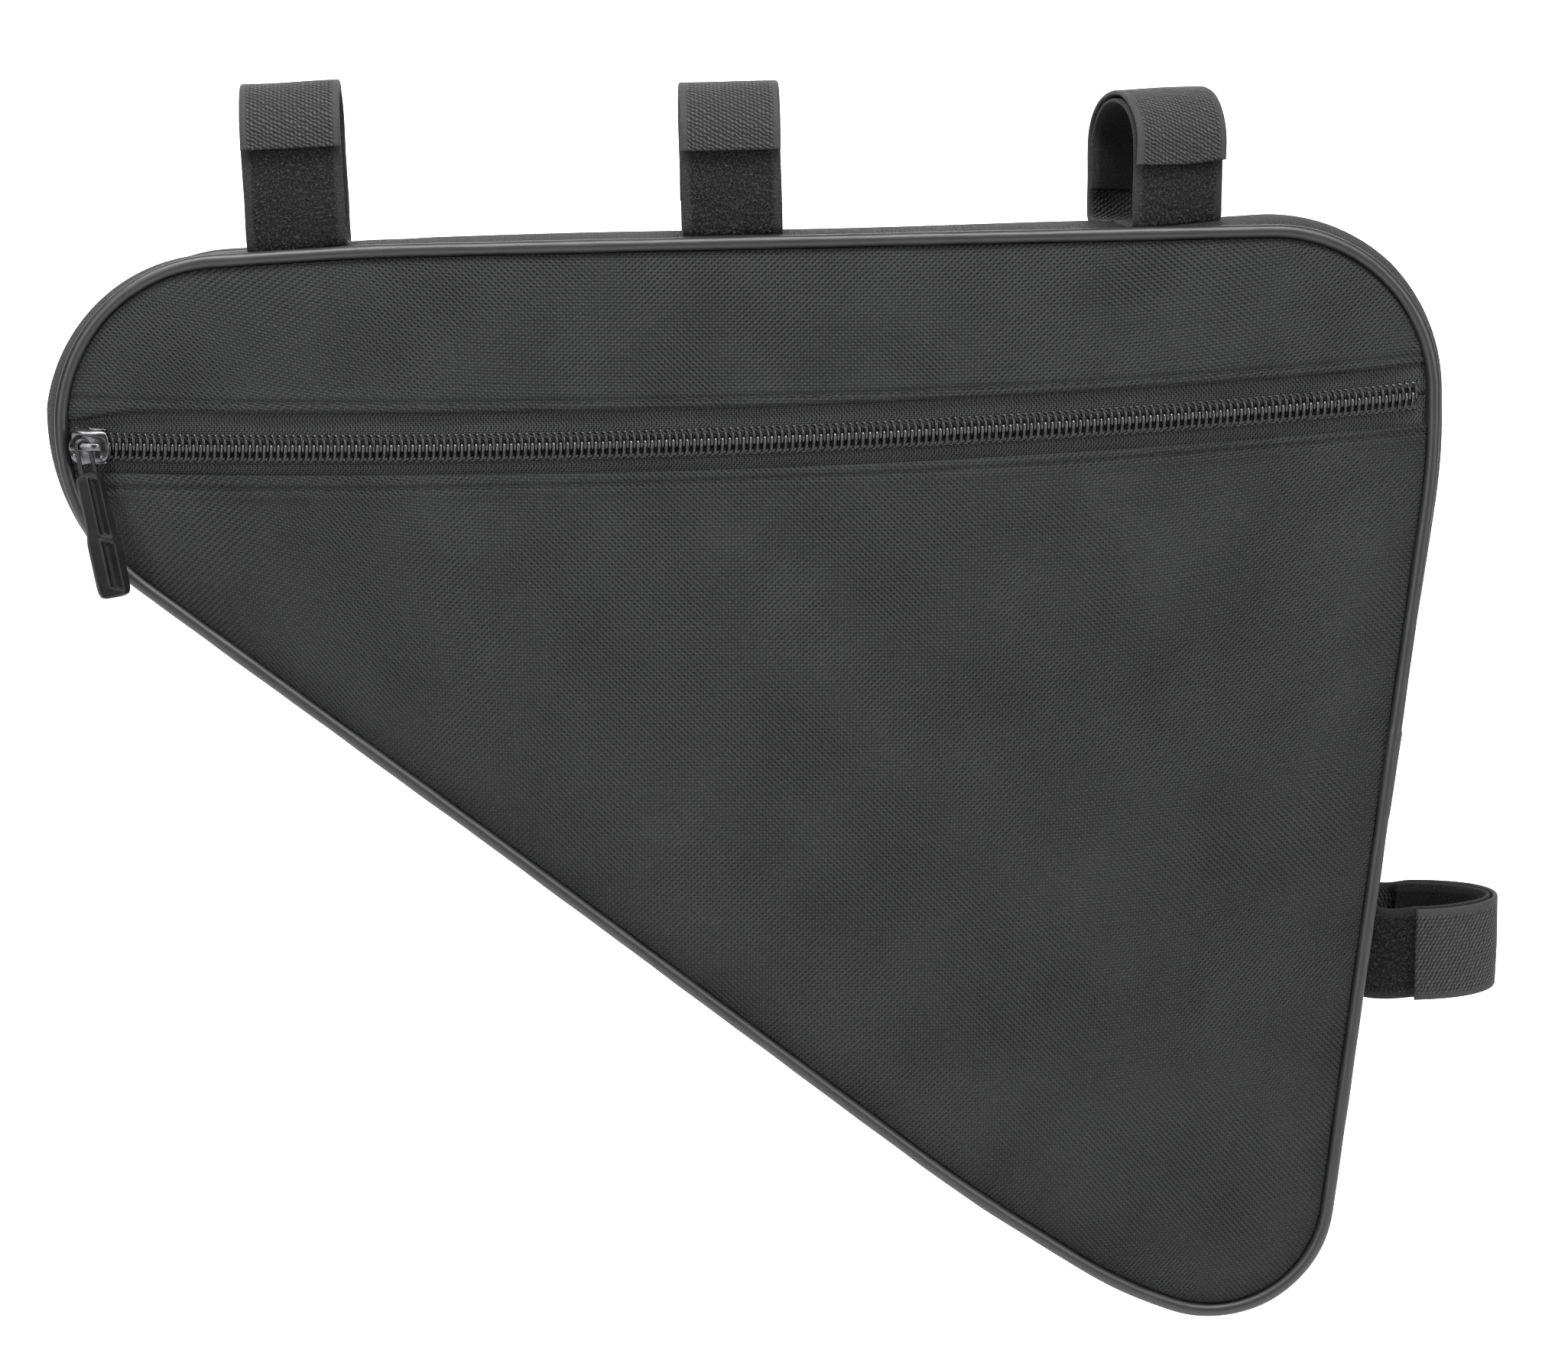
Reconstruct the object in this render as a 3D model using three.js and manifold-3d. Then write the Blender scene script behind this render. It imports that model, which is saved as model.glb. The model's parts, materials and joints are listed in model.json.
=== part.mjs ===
// Triangular frame bag for a bicycle, held by four hook-and-loop straps.
//
// Millimetres. +X runs along the top tube towards the seat, -Y points to the zip side
// and +Z is up. The origin is on the top tube's axis at the middle strap.
// Two cloth panels are sewn to a gusset band. A round piping lies in each of the two
// seams. The zip crosses the front panel, and its slider carries a rubber grip.
import * as THREE from "three";
import { mergeVertices } from "three/addons/utils/BufferGeometryUtils.js";
import Module from "manifold-3d";

const wasm = await Module();
wasm.setup();

// Bag body
const BAG_LENGTH = 341.5; // box round the seam line's corners, left to right
const BAG_HEIGHT = 284.5; // the same box, top to tip
const BAG_DEPTH = 50; // front seam to back seam
const LEFT_OF_STRAP = 166.5; // left side of the box to the middle strap
const TUBE_ABOVE_SEAM = 18.2; // top of the box to the top tube's axis
const CORNER_RADIUS = 40.5; // top right corner
const GAP = 0.3; // between pieces that touch
const CLOTH = 1.2; // wall of the front and back panels
const GUSSET_WALL = 1.5;
const GUSSET_BULGE = 6.1; // most that the gusset stands out between its seams
const FRONT_CROWN = 7; // height of the front panel over its seam
const BACK_CROWN = 5;
const CROWN_SPREAD = 14; // the panels rise to 63% of their crown this far from the seam
const PIPING_RADIUS = 1.65;

// Zip
const ZIP_BELOW_TUBE = 72.3; // lowest point of the zip line under the top tube's axis
const ZIP_LOW_SHARE = 0.195; // where that is, as a share of BAG_LENGTH
const ZIP_RISE = 12.8; // from there up to the right side of the box
const ZIP_WINDOW = 14.6; // between the two folded cloth edges
const TAPE_WIDTH = 15; // one woven tape, most of it under the cloth
const TAPE_THICKNESS = 1;
const TAPE_CLEARANCE = 0.5; // cloth to tape, over curved cloth
const COIL_WIDTH = 3.3; // one row of coil
const COIL_HEIGHT = 2;
const COIL_PROUD = 0.5; // coil over the cloth's outer face
const ROW_GAP = 0.3; // between the two rows, tapes included

// Slider and pull
const SLIDER_LENGTH = 10.6;
const SLIDER_WIDTH = 9.4;
const SLIDER_FROM_SEAM = 7.2; // left seam to the slider's middle
const PLATE_THICKNESS = 1.3;
const RAIL_THICKNESS = 0.8;
const POST_WIDTH = 2.2; // the wedge that parts the two rows at the slider's nose
const BAR_RADIUS = 0.8; // the crown's bar, round which the link turns
const CROWN_POST = 1.4;
const LINK_WIRE = 1.1; // wire diameter
const LINK_RADIUS = 2.5; // bend of the wire's centre line round the bar
const LINK_GRIPPED = 3.4; // length of the wire's legs inside the grip
const GRIP_BELOW_BAR = 6.4;
const GRIP_LENGTH = 31.5;
const GRIP_WIDTH = 8.2;
const GRIP_THICKNESS = 4.2;
const GRIP_RECESS = 0.4; // depth of the plain recess in each face
const PULL_LEAN = 14.4; // degrees that the hanging grip leans to the right
const PULL_TILT = 4; // degrees that it stands off the cloth
const PULL_TWIST = -45; // degrees about its own length

// Straps
const STRAP_WIDTH = 25;
const LOOP_TAPE = 1.6; // fuzzy tape, inside
const HOOK_TAPE = 1.2; // woven hook tape, outside
const STRAP_SPACING = 107; // middle strap to each outer strap
const LOOP_HEIGHT = 41.2; // over the gusset, left strap
const LOOP_DEPTH = 27.5; // front leg to back leg, right strap
const STRAP_FORWARD = 4; // loops' middle in front of the gusset's middle
const BASE_BEND = 2.2; // inner bend where a leg turns flat onto the gusset
const BASE_LENGTH = 8; // flat stretch sewn to the gusset
const LEAN_HEIGHT = 12; // over the gusset, up to where a strap has taken its lean
const SEAT_STRAP_DROP = 200.4; // top tube's axis to the seat strap's middle

// Corners of the seam line before rounding, clockwise from the top left.
// across and down: shares of BAG_LENGTH and BAG_HEIGHT. round: share of CORNER_RADIUS.
const CORNERS = [
  { across: 0, down: 0.037, round: 1 }, // top left
  { across: 0.222, down: 0.02, round: 14.8 }, // faint bend in the top edge
  { across: 0.9985, down: 0, round: 1 }, // top right
  { across: 1, down: 0.203, round: 4.35 }, // faint bend in the right edge
  { across: 0.915, down: 1, round: 0.765 }, // tip
  { across: 0.7745, down: 0.943, round: 2.9 }, // left of the tip
  { across: 0.66, down: 0.8555, round: 9.7 }, // end of the straight slant
  { across: 0.319, down: 0.545, round: 9.7 }, // faint hollow in the slant
  { across: 0, down: 0.26, round: 1.22 }, // bottom left
];

// How far the gusset stands out beside these places of the same box, clockwise too.
// out: share of GUSSET_BULGE.
const BULGES = [
  { across: 0, down: 0.16, out: 1 }, // left side
  { across: 0.035, down: 0.08, out: 0.6 }, // top left corner
  { across: 0.11, down: 0.03, out: 0.18 }, // start of the top edge
  { across: 0.27, down: 0.02, out: 0.42 },
  { across: 0.83, down: 0, out: 0.45 }, // end of the top edge
  { across: 0.96, down: 0.05, out: 0.9 }, // top right corner
  { across: 1, down: 0.2, out: 0.92 },
  { across: 0.95, down: 0.7, out: 0.6 }, // right side
  { across: 0.9, down: 0.95, out: 0.36 }, // tip
  { across: 0.66, down: 0.855, out: 0.22 }, // slant
  { across: 0.319, down: 0.545, out: 0.22 },
  { across: 0.06, down: 0.3, out: 0.68 }, // bottom left corner
];
const ARC_STEP = 12; // degrees
const STRAIGHT_STEP = 27; // mm

// The panels' rings: parallel to the seam at these shares of CROWN_SPREAD, then the last
// one shrunk by these shares towards the crown's centre.
const FRONT_RINGS = { insets: [0, 0.18, 0.43, 0.8, 1.3, 2], shrunk: [0.66, 0.33] };
const BACK_RINGS = { insets: [0, 0.35, 0.9, 1.9], shrunk: [0.5] };
const CROWN_CENTRE = { across: 0.69, down: 0.35 };

// height and depth: shares of LOOP_HEIGHT and LOOP_DEPTH. arch: height of the rounded
// top, as a share of half the depth. twist: degrees about the strap's upright. lean:
// degrees that it leans along the seam. hookEnd: share of the height, down from the top,
// where the hook tape ends on the front leg. along: share of STRAP_SPACING.
const TOP_STRAPS = [
  { name: "left", along: -1.015, height: 1, depth: 0.84, arch: 1, twist: 0, lean: 2.4, hookEnd: 0.4 },
  { name: "middle", along: 0, height: 0.905, depth: 0.9, arch: 1, twist: 0, lean: 0, hookEnd: 0.46 },
  { name: "right", along: 1, height: 0.805, depth: 0.96, arch: 1, twist: 21, lean: 2.4, hookEnd: 0.58 },
];
const SEAT_STRAP = { height: 0.81, depth: 0.7, arch: 2.4, twist: 13, lean: -9, hookEnd: 0.66 };

// Cross-sections of the grip from its top. at: share of GRIP_LENGTH. wide and thick:
// shares of GRIP_WIDTH and GRIP_THICKNESS.
const GRIP_SECTIONS = [
  { at: 0, wide: 0.78, thick: 0.72 },
  { at: 0.03, wide: 0.84, thick: 0.84 },
  { at: 0.45, wide: 0.86, thick: 0.88 },
  { at: 0.56, wide: 1, thick: 1 },
  { at: 0.94, wide: 1, thick: 1 },
  { at: 1, wide: 0.86, thick: 0.8 },
];

const rad = THREE.MathUtils.degToRad;
const smooth = THREE.MathUtils.smoothstep;
const v3 = (x, y, z) => new THREE.Vector3(x, y, z);

// Meshes

// Rings of equally many points, joined in order to one closed skin. The two end rings
// meet each other when ringed is true and are filled by a fan when it is false.
function loft(rings, ringed = false) {
  const n = rings[0].length;
  const points = rings.flat();
  const faces = [];
  const steps = ringed ? rings.length : rings.length - 1;
  for (let i = 0; i < steps; i++) {
    const next = (i + 1) % rings.length;
    for (let j = 0; j < n; j++) {
      const k = (j + 1) % n;
      faces.push([i * n + j, i * n + k, next * n + k]);
      faces.push([i * n + j, next * n + k, next * n + j]);
    }
  }
  if (!ringed) {
    for (const i of [0, rings.length - 1]) {
      const middle = v3(0, 0, 0);
      rings[i].forEach((p) => middle.addScaledVector(p, 1 / n));
      points.push(middle);
      for (let j = 0; j < n; j++) {
        const pair = [i * n + j, i * n + ((j + 1) % n)];
        faces.push(i ? [points.length - 1, ...pair] : [points.length - 1, ...pair.reverse()]);
      }
    }
  }
  return outward(points, faces);
}

// One closed geometry from points and triangles, its faces turned to point out.
function outward(points, faces) {
  let volume = 0;
  for (const [a, b, c] of faces) {
    volume += points[a].dot(v3(0, 0, 0).crossVectors(points[b], points[c]));
  }
  const geometry = new THREE.BufferGeometry().setFromPoints(points);
  const turned = volume < 0 ? faces.map(([a, b, c]) => [a, c, b]) : faces;
  return geometry.setIndex(turned.flat());
}

function toSolid(geometry) {
  const bare = geometry.clone();
  bare.deleteAttribute("normal");
  bare.deleteAttribute("uv");
  const merged = mergeVertices(bare, 1e-4);
  const vertProperties = merged.attributes.position.array;
  const triVerts = new Uint32Array(merged.index.array);
  return new wasm.Manifold(new wasm.Mesh({ numProp: 3, vertProperties, triVerts }));
}

function toGeometry(solid) {
  const { numProp, numVert, vertProperties, triVerts } = solid.getMesh();
  const points = [];
  for (let i = 0; i < numVert; i++) {
    points.push(new THREE.Vector3().fromArray(vertProperties, i * numProp));
  }
  return new THREE.BufferGeometry().setFromPoints(points).setIndex([...triVerts]);
}

function joined(geometries) {
  const [first, ...rest] = geometries.map(toSolid);
  return rest.reduce((all, one) => all.add(one), first);
}

// A block between two corners.
function block(low, high) {
  const size = high.clone().sub(low);
  const middle = low.clone().add(high).multiplyScalar(0.5);
  return new THREE.BoxGeometry(...size).translate(...middle);
}

// Seam line

// A place in the box round the seam line's corners.
function inBox({ across, down }) {
  const x = across * BAG_LENGTH - LEFT_OF_STRAP;
  const z = -TUBE_ABOVE_SEAM - down * BAG_HEIGHT;
  return new THREE.Vector2(x, z);
}

function seamCorners() {
  const corners = CORNERS.map((row) => ({ at: inBox(row), radius: row.round * CORNER_RADIUS }));
  const side = (i) => {
    const from = corners.at(i % corners.length);
    return corners.at((i + 1) % corners.length).at.clone().sub(from.at);
  };
  corners.forEach((corner, i) => {
    corner.in = side(i - 1 + corners.length).normalize();
    corner.out = side(i).normalize();
    corner.turn = Math.atan2(corner.in.cross(corner.out), corner.in.dot(corner.out));
    corner.reach = corner.radius * Math.tan(Math.abs(corner.turn) / 2);
    corner.share = 1;
  });
  corners.forEach((corner, i) => {
    const other = corners[(i + 1) % corners.length];
    const fits = (0.99 * side(i).length()) / (corner.reach + other.reach);
    corner.share = Math.min(corner.share, fits);
    other.share = Math.min(other.share, fits);
  });
  return corners;
}

// The seam line's points, each with its outward normal.
function seamPoints() {
  const corners = seamCorners();
  const line = [];
  const add = (at, along) => line.push({ x: at.x, z: at.y, nx: -along.y, nz: along.x });
  corners.forEach((corner, i) => {
    const next = corners[(i + 1) % corners.length];
    const radius = corner.radius * corner.share;
    const start = corner.at.clone().addScaledVector(corner.in, -corner.reach * corner.share);
    const steps = Math.max(2, Math.ceil(Math.abs(corner.turn) / rad(ARC_STEP)));
    const chord = 2 * radius * Math.sin(Math.abs(corner.turn) / steps / 2);
    const at = start.clone();
    const origin = new THREE.Vector2();
    add(at, corner.in);
    for (let k = 0; k < steps; k++) {
      const along = corner.in.clone().rotateAround(origin, (corner.turn * (k + 0.5)) / steps);
      at.addScaledVector(along, chord);
      add(at, corner.in.clone().rotateAround(origin, (corner.turn * (k + 1)) / steps));
    }
    const end = next.at.clone().addScaledVector(next.in, -next.reach * next.share);
    const pieces = Math.max(1, Math.ceil(at.distanceTo(end) / STRAIGHT_STEP));
    for (let k = 1; k < pieces; k++) add(at.clone().lerp(end, k / pieces), corner.out);
  });
  return line;
}

// Gives each point of the line the gusset's bulge there, from the table's places.
function withBulges(line) {
  const gone = [0];
  line.forEach((p, i) => {
    const next = line[(i + 1) % line.length];
    gone.push(gone[i] + Math.hypot(next.x - p.x, next.z - p.z));
  });
  const whole = gone.at(-1);
  const knots = BULGES.map((row) => {
    const place = inBox(row);
    const far = line.map((p) => Math.hypot(p.x - place.x, p.z - place.y));
    return { gone: gone[far.indexOf(Math.min(...far))], bulge: row.out * GUSSET_BULGE };
  });
  line.forEach((p, i) => {
    const ahead = (knot) => (knot.gone - gone[i] + whole) % whole;
    const near = [...knots].sort((a, b) => ahead(a) - ahead(b));
    const [next, last] = [near[0], near.at(-1)];
    const behind = whole - ahead(last);
    p.bulge = THREE.MathUtils.lerp(last.bulge, next.bulge, behind / (behind + ahead(next)));
  });
  return line;
}

const SEAM = withBulges(seamPoints());
const PANEL_INSET = PIPING_RADIUS + GAP; // the panels' edges beside the piping

// The nearest place on the seam line: its distance, and where it is along the line.
function nearestOnSeam(x, z) {
  let best = { distance: Infinity };
  SEAM.forEach((a, i) => {
    const b = SEAM[(i + 1) % SEAM.length];
    const [dx, dz] = [b.x - a.x, b.z - a.z];
    const along = ((x - a.x) * dx + (z - a.z) * dz) / (dx * dx + dz * dz);
    const share = THREE.MathUtils.clamp(along, 0, 1);
    const distance = Math.hypot(x - a.x - share * dx, z - a.z - share * dz);
    if (distance < best.distance) best = { distance, a, b, share };
  });
  return best;
}

// The seam line's two crossings of a level, left and right.
function seamSides(z) {
  const xs = [];
  SEAM.forEach((a, i) => {
    const b = SEAM[(i + 1) % SEAM.length];
    if (a.z > z !== b.z > z) xs.push(a.x + ((z - a.z) / (b.z - a.z)) * (b.x - a.x));
  });
  return [Math.min(...xs), Math.max(...xs)];
}

// How far a panel with this crown stands over the seam plane.
function rise(x, z, crown) {
  const inside = Math.max(0, nearestOnSeam(x, z).distance - PANEL_INSET);
  return crown * (1 - Math.exp(-inside / CROWN_SPREAD));
}

const frontY = (x, z) => -BAG_DEPTH / 2 - rise(x, z, FRONT_CROWN);

// Body pieces

// A crowned sheet inside the seam line. side is -1 at the front and 1 at the back.
function crownedSheet(side, crown, { insets, shrunk }) {
  const centre = inBox(CROWN_CENTRE);
  const inset = (distance) =>
    SEAM.map((p) => [p.x - p.nx * distance, p.z - p.nz * distance]);
  const rings = insets.map((share) => inset(PANEL_INSET + share * CROWN_SPREAD));
  const last = rings.at(-1);
  for (const share of shrunk) {
    rings.push(
      last.map(([x, z]) => [
        centre.x + (x - centre.x) * share,
        centre.y + (z - centre.y) * share,
      ]),
    );
  }
  const skin = (ring, wall) =>
    ring.map(([x, z]) => v3(x, side * (BAG_DEPTH / 2 + rise(x, z, crown) - wall), z));
  const outer = rings.map((ring) => skin(ring, 0));
  const inner = rings.map((ring) => skin(ring, CLOTH));
  return loft([...outer.reverse(), ...inner]);
}

// The band between the two seams: its outer face bulges between them.
function gussetBand() {
  const half = BAG_DEPTH / 2 - PIPING_RADIUS - GAP;
  const depths = [-1, -0.6, 0, 0.6, 1];
  return loft(
    SEAM.map((p) => {
      const face = (depth, wall) => {
        const out = p.bulge * (1 - depth * depth) - wall;
        return v3(p.x + p.nx * out, depth * half, p.z + p.nz * out);
      };
      const outer = depths.map((depth) => face(depth, 0));
      const inner = depths.map((depth) => face(depth, GUSSET_WALL));
      return [...outer, ...inner.reverse()];
    }),
    true,
  );
}

function pipingRing(side) {
  const sides = 8;
  return loft(
    SEAM.map((p) =>
      Array.from({ length: sides }, (_, k) => {
        const angle = ((k + 0.5) / sides) * 2 * Math.PI;
        const out = PIPING_RADIUS * Math.cos(angle);
        const deep = PIPING_RADIUS * Math.sin(angle);
        return v3(p.x + p.nx * out, (side * BAG_DEPTH) / 2 + deep, p.z + p.nz * out);
      }),
    ),
    true,
  );
}

// Zip

function zipZ(x) {
  const low = ZIP_LOW_SHARE * BAG_LENGTH - LEFT_OF_STRAP;
  const right = BAG_LENGTH - LEFT_OF_STRAP;
  return -ZIP_BELOW_TUBE + ZIP_RISE * ((x - low) / (right - low)) ** 2;
}

const [ZIP_LEFT, ZIP_RIGHT] = seamSides(-ZIP_BELOW_TUBE);
const SLIDER_X = ZIP_LEFT + SLIDER_FROM_SEAM;
const TAPE_FACE = Math.max(CLOTH + TAPE_CLEARANCE, COIL_HEIGHT - COIL_PROUD + GAP);

// Half the gap between the two rows: it opens round the slider's post.
const ROWS_OPEN = SLIDER_X + SLIDER_LENGTH * 0.04;
const ROWS_CLOSED = SLIDER_X + SLIDER_LENGTH * 0.32;
function rowEdge(x) {
  const open = smooth(ROWS_CLOSED - x, 0, ROWS_CLOSED - ROWS_OPEN);
  return THREE.MathUtils.lerp(ROW_GAP / 2, POST_WIDTH / 2 + GAP, open);
}

// A strip along the zip line. up is 1 for the upper row and -1 for the lower. width is
// where it ends, from the zip line, and face and back are depths behind the cloth's skin.
function zipStrip(up, width, face, back) {
  const inset = PANEL_INSET + GAP;
  const stations = [ZIP_LEFT + inset, SLIDER_X - SLIDER_LENGTH / 4, ROWS_OPEN];
  const steps = 20;
  for (let i = 0; i <= steps; i++) {
    const share = Math.sin((Math.PI * i) / steps / 2) ** 1.2;
    stations.push(THREE.MathUtils.lerp(ROWS_CLOSED, ZIP_RIGHT - inset, share));
  }
  return loft(
    stations.map((x) => {
      const place = (v) => {
        const z = zipZ(x) + up * THREE.MathUtils.lerp(rowEdge(x), width, v);
        const [left, right] = seamSides(z);
        const inside = THREE.MathUtils.clamp(x, left + inset, right - inset);
        return { x: inside, z, y: frontY(inside, z) };
      };
      const across = [0, 0.5, 1].map(place);
      const line = (depth) => across.map((p) => v3(p.x, p.y + depth, p.z));
      return [...line(face), ...line(back).reverse()];
    }),
  );
}

const zipTape = (up) => {
  return zipStrip(up, TAPE_WIDTH, TAPE_FACE, TAPE_FACE + TAPE_THICKNESS);
};
const zipCoil = (up) => {
  return zipStrip(up, ROW_GAP / 2 + COIL_WIDTH, -COIL_PROUD, COIL_HEIGHT - COIL_PROUD);
};

// The front panel, parted by the zip window into an upper and a lower piece.
function frontPanels() {
  const steps = 24;
  const margin = BAG_DEPTH / 2;
  const rings = [];
  for (let i = 0; i <= steps; i++) {
    const x = THREE.MathUtils.lerp(ZIP_LEFT - margin, ZIP_RIGHT + margin, i / steps);
    const [low, high] = [zipZ(x) - ZIP_WINDOW / 2, zipZ(x) + ZIP_WINDOW / 2];
    const [near, far] = [-BAG_DEPTH / 2 - FRONT_CROWN - margin, 0];
    rings.push([v3(x, near, low), v3(x, near, high), v3(x, far, high), v3(x, far, low)]);
  }
  const sheet = toSolid(crownedSheet(-1, FRONT_CROWN, FRONT_RINGS)).subtract(toSolid(loft(rings)));
  const top = (piece) => piece.boundingBox().max[2];
  const [upper, lower] = sheet.decompose().sort((a, b) => top(b) - top(a));
  return { upper: toGeometry(upper), lower: toGeometry(lower) };
}

// Slider, in its own frame: x along the zip, y into the bag, z up, with y = 0 on the
// coil's outer face. Its nose points to -x.
const PLATE_FACE = -GAP - PLATE_THICKNESS;
const BAR_OUT = PLATE_FACE - LINK_RADIUS - LINK_WIRE / 2 - GAP;
const CROWN_REACH = 0.7; // the crown's posts from the middle, as a share of half the length

function sliderPlate(length, width, near, far) {
  const [l, w] = [length / 2, width / 2];
  const shape = new THREE.Shape();
  shape.moveTo(-l, w * 0.45);
  shape.quadraticCurveTo(-l, w, -l * 0.35, w);
  shape.quadraticCurveTo(l * 0.3, w * 0.8, l, w * 0.78);
  shape.lineTo(l, -w * 0.78);
  shape.quadraticCurveTo(l * 0.3, -w * 0.8, -l * 0.35, -w);
  shape.quadraticCurveTo(-l, -w, -l, -w * 0.45);
  const plate = new THREE.ExtrudeGeometry(shape, {
    depth: far - near,
    curveSegments: 4,
    bevelEnabled: false,
  });
  return plate.rotateX(Math.PI / 2).translate(0, far, 0);
}

function slider() {
  const [l, w] = [SLIDER_LENGTH / 2, SLIDER_WIDTH / 2];
  const inside = COIL_HEIGHT + TAPE_THICKNESS + 3 * GAP; // back plate's outer face
  const railFrom = ROW_GAP / 2 + COIL_WIDTH + GAP;
  const rail = (up) => {
    const ends = [up * railFrom, up * Math.min(railFrom + RAIL_THICKNESS, w)].sort((a, b) => a - b);
    return block(
      v3(-l * 0.4, -GAP - PLATE_THICKNESS / 2, ends[0]),
      v3(l * 0.4, COIL_HEIGHT - GAP, ends[1]),
    );
  };
  const post = (side) =>
    block(
      v3(side * CROWN_REACH * l - CROWN_POST / 2, BAR_OUT - BAR_RADIUS, -BAR_RADIUS),
      v3(side * CROWN_REACH * l + CROWN_POST / 2, PLATE_FACE + PLATE_THICKNESS / 2, BAR_RADIUS),
    );
  const bar = new THREE.CylinderGeometry(BAR_RADIUS, BAR_RADIUS, 2 * CROWN_REACH * l, 10);
  return joined([
    sliderPlate(SLIDER_LENGTH, SLIDER_WIDTH, PLATE_FACE, -GAP),
    sliderPlate(SLIDER_LENGTH * 0.7, SLIDER_WIDTH * 0.8, inside, inside + PLATE_THICKNESS),
    block(
      v3(-l * 0.66, PLATE_FACE + PLATE_THICKNESS / 2, -POST_WIDTH / 2),
      v3(-l * 0.3, inside + PLATE_THICKNESS / 2, POST_WIDTH / 2),
    ),
    rail(1),
    rail(-1),
    post(1),
    post(-1),
    bar.rotateZ(Math.PI / 2).translate(0, BAR_OUT, 0),
  ]);
}

// The wire link, in the pull's frame: the bar runs along x through its origin, and the
// grip hangs along -z.
function pullLink() {
  const bend = 8;
  const foot = -GRIP_BELOW_BAR - LINK_GRIPPED;
  const path = [{ y: -LINK_RADIUS, z: foot, turn: 0 }];
  for (let i = 0; i <= bend; i++) {
    const turn = (Math.PI * i) / bend;
    path.push({ y: -LINK_RADIUS * Math.cos(turn), z: LINK_RADIUS * Math.sin(turn), turn });
  }
  path.push({ y: LINK_RADIUS, z: foot, turn: Math.PI });
  const sides = 6;
  return loft(
    path.map((p) =>
      Array.from({ length: sides }, (_, k) => {
        const angle = ((k + 0.5) / sides) * 2 * Math.PI;
        const side = (LINK_WIRE / 2) * Math.cos(angle);
        const out = (LINK_WIRE / 2) * Math.sin(angle);
        return v3(side, p.y - out * Math.cos(p.turn), p.z + out * Math.sin(p.turn));
      }),
    ),
  );
}

function pullGrip() {
  const sides = 16;
  const squareness = 0.5; // power that makes an ellipse's sides fuller
  const fuller = (value) => Math.sign(value) * Math.abs(value) ** squareness;
  const body = loft(
    GRIP_SECTIONS.map((row) =>
      Array.from({ length: sides }, (_, k) => {
        const angle = ((k + 0.5) / sides) * 2 * Math.PI;
        const x = 0.5 * GRIP_THICKNESS * row.thick * fuller(Math.cos(angle));
        const y = 0.5 * GRIP_WIDTH * row.wide * fuller(Math.sin(angle));
        return v3(x, y, -GRIP_BELOW_BAR - GRIP_LENGTH * row.at);
      }),
    ),
  );
  const [wire, deep] = [LINK_WIRE / 2 + GAP, LINK_GRIPPED + GAP];
  const socket = block(
    v3(-wire, -LINK_RADIUS - wire, -GRIP_BELOW_BAR - deep),
    v3(wire, LINK_RADIUS + wire, -GRIP_BELOW_BAR + deep),
  );
  const recess = (face) => {
    const [from, to] = [0.6, 0.9].map((at) => -GRIP_BELOW_BAR - GRIP_LENGTH * at);
    const floor = face * (GRIP_THICKNESS / 2 - GRIP_RECESS);
    const xs = [floor, face * GRIP_THICKNESS].sort((a, b) => a - b);
    const half = GRIP_WIDTH * 0.3;
    return block(v3(xs[0], -half, to), v3(xs[1], half, from));
  };
  const solid = [socket, recess(1), recess(-1)].reduce(
    (grip, cut) => grip.subtract(toSolid(cut)),
    toSolid(body),
  );
  return toGeometry(solid);
}

// Straps, in a frame of their own: x across the tape, y through the bag's depth, and z
// out from the gusset. A path is a list of { y, z, ny, nz } with the normal that points
// out of the loop.

// From a flat foot on the gusset up one leg, over the top and down the other leg, always
// off outside the line where the two tapes meet. foot is the side of the first leg, -1 at
// the front. half and arch are that line's half depth and the height of its rounded top.
// stop is how high the second leg ends.
function strapPath({ foot, half, arch, top, off, base, stop }) {
  const bend = BASE_BEND;
  const leg = half + off;
  const flat = Math.min(BASE_LENGTH, leg - bend - GAP);
  const path = [
    { y: foot * (leg - bend - flat), z: base, ny: 0, nz: -1 },
    { y: foot * (leg - bend), z: base, ny: 0, nz: -1 },
  ];
  for (const turn of [30, 60, 90].map(rad)) {
    path.push({
      y: foot * (leg - bend + bend * Math.sin(turn)),
      z: base + bend - bend * Math.cos(turn),
      ny: foot * Math.sin(turn),
      nz: -Math.cos(turn),
    });
  }
  const shoulder = top - arch;
  const steps = 12;
  for (let i = 0; i <= steps; i++) {
    const turn = (Math.PI * i) / steps;
    const [cos, sin] = [foot * Math.cos(turn), Math.sin(turn)];
    const normal = new THREE.Vector2(arch * cos, half * sin).normalize();
    path.push({
      y: half * cos + off * normal.x,
      z: shoulder + arch * sin + off * normal.y,
      ny: normal.x,
      nz: normal.y,
    });
  }
  path.push({ y: -foot * leg, z: 0, ny: -foot, nz: 0 });
  const kept = path.findLastIndex((p) => p.z > stop) + 1;
  const [a, b] = [path[kept - 1], path[kept]];
  const share = (a.z - stop) / (a.z - b.z);
  const end = Object.keys(a).map((key) => [key, THREE.MathUtils.lerp(a[key], b[key], share)]);
  return [...path.slice(0, kept), Object.fromEntries(end)];
}

function tape(path, thickness, lean) {
  return loft(
    path.map(({ y, z, ny, nz }) => {
      const at = (side, out) => {
        const up = z + nz * out;
        const turn = rad(lean) * smooth(up, 0, LEAN_HEIGHT);
        const [cos, sin] = [Math.cos(turn), Math.sin(turn)];
        return v3(side * cos + up * sin, y + ny * out, up * cos - side * sin);
      };
      const [w, t] = [STRAP_WIDTH / 2, thickness / 2];
      return [at(-w, -t), at(w, -t), at(w, t), at(-w, t)];
    }),
  );
}

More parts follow.
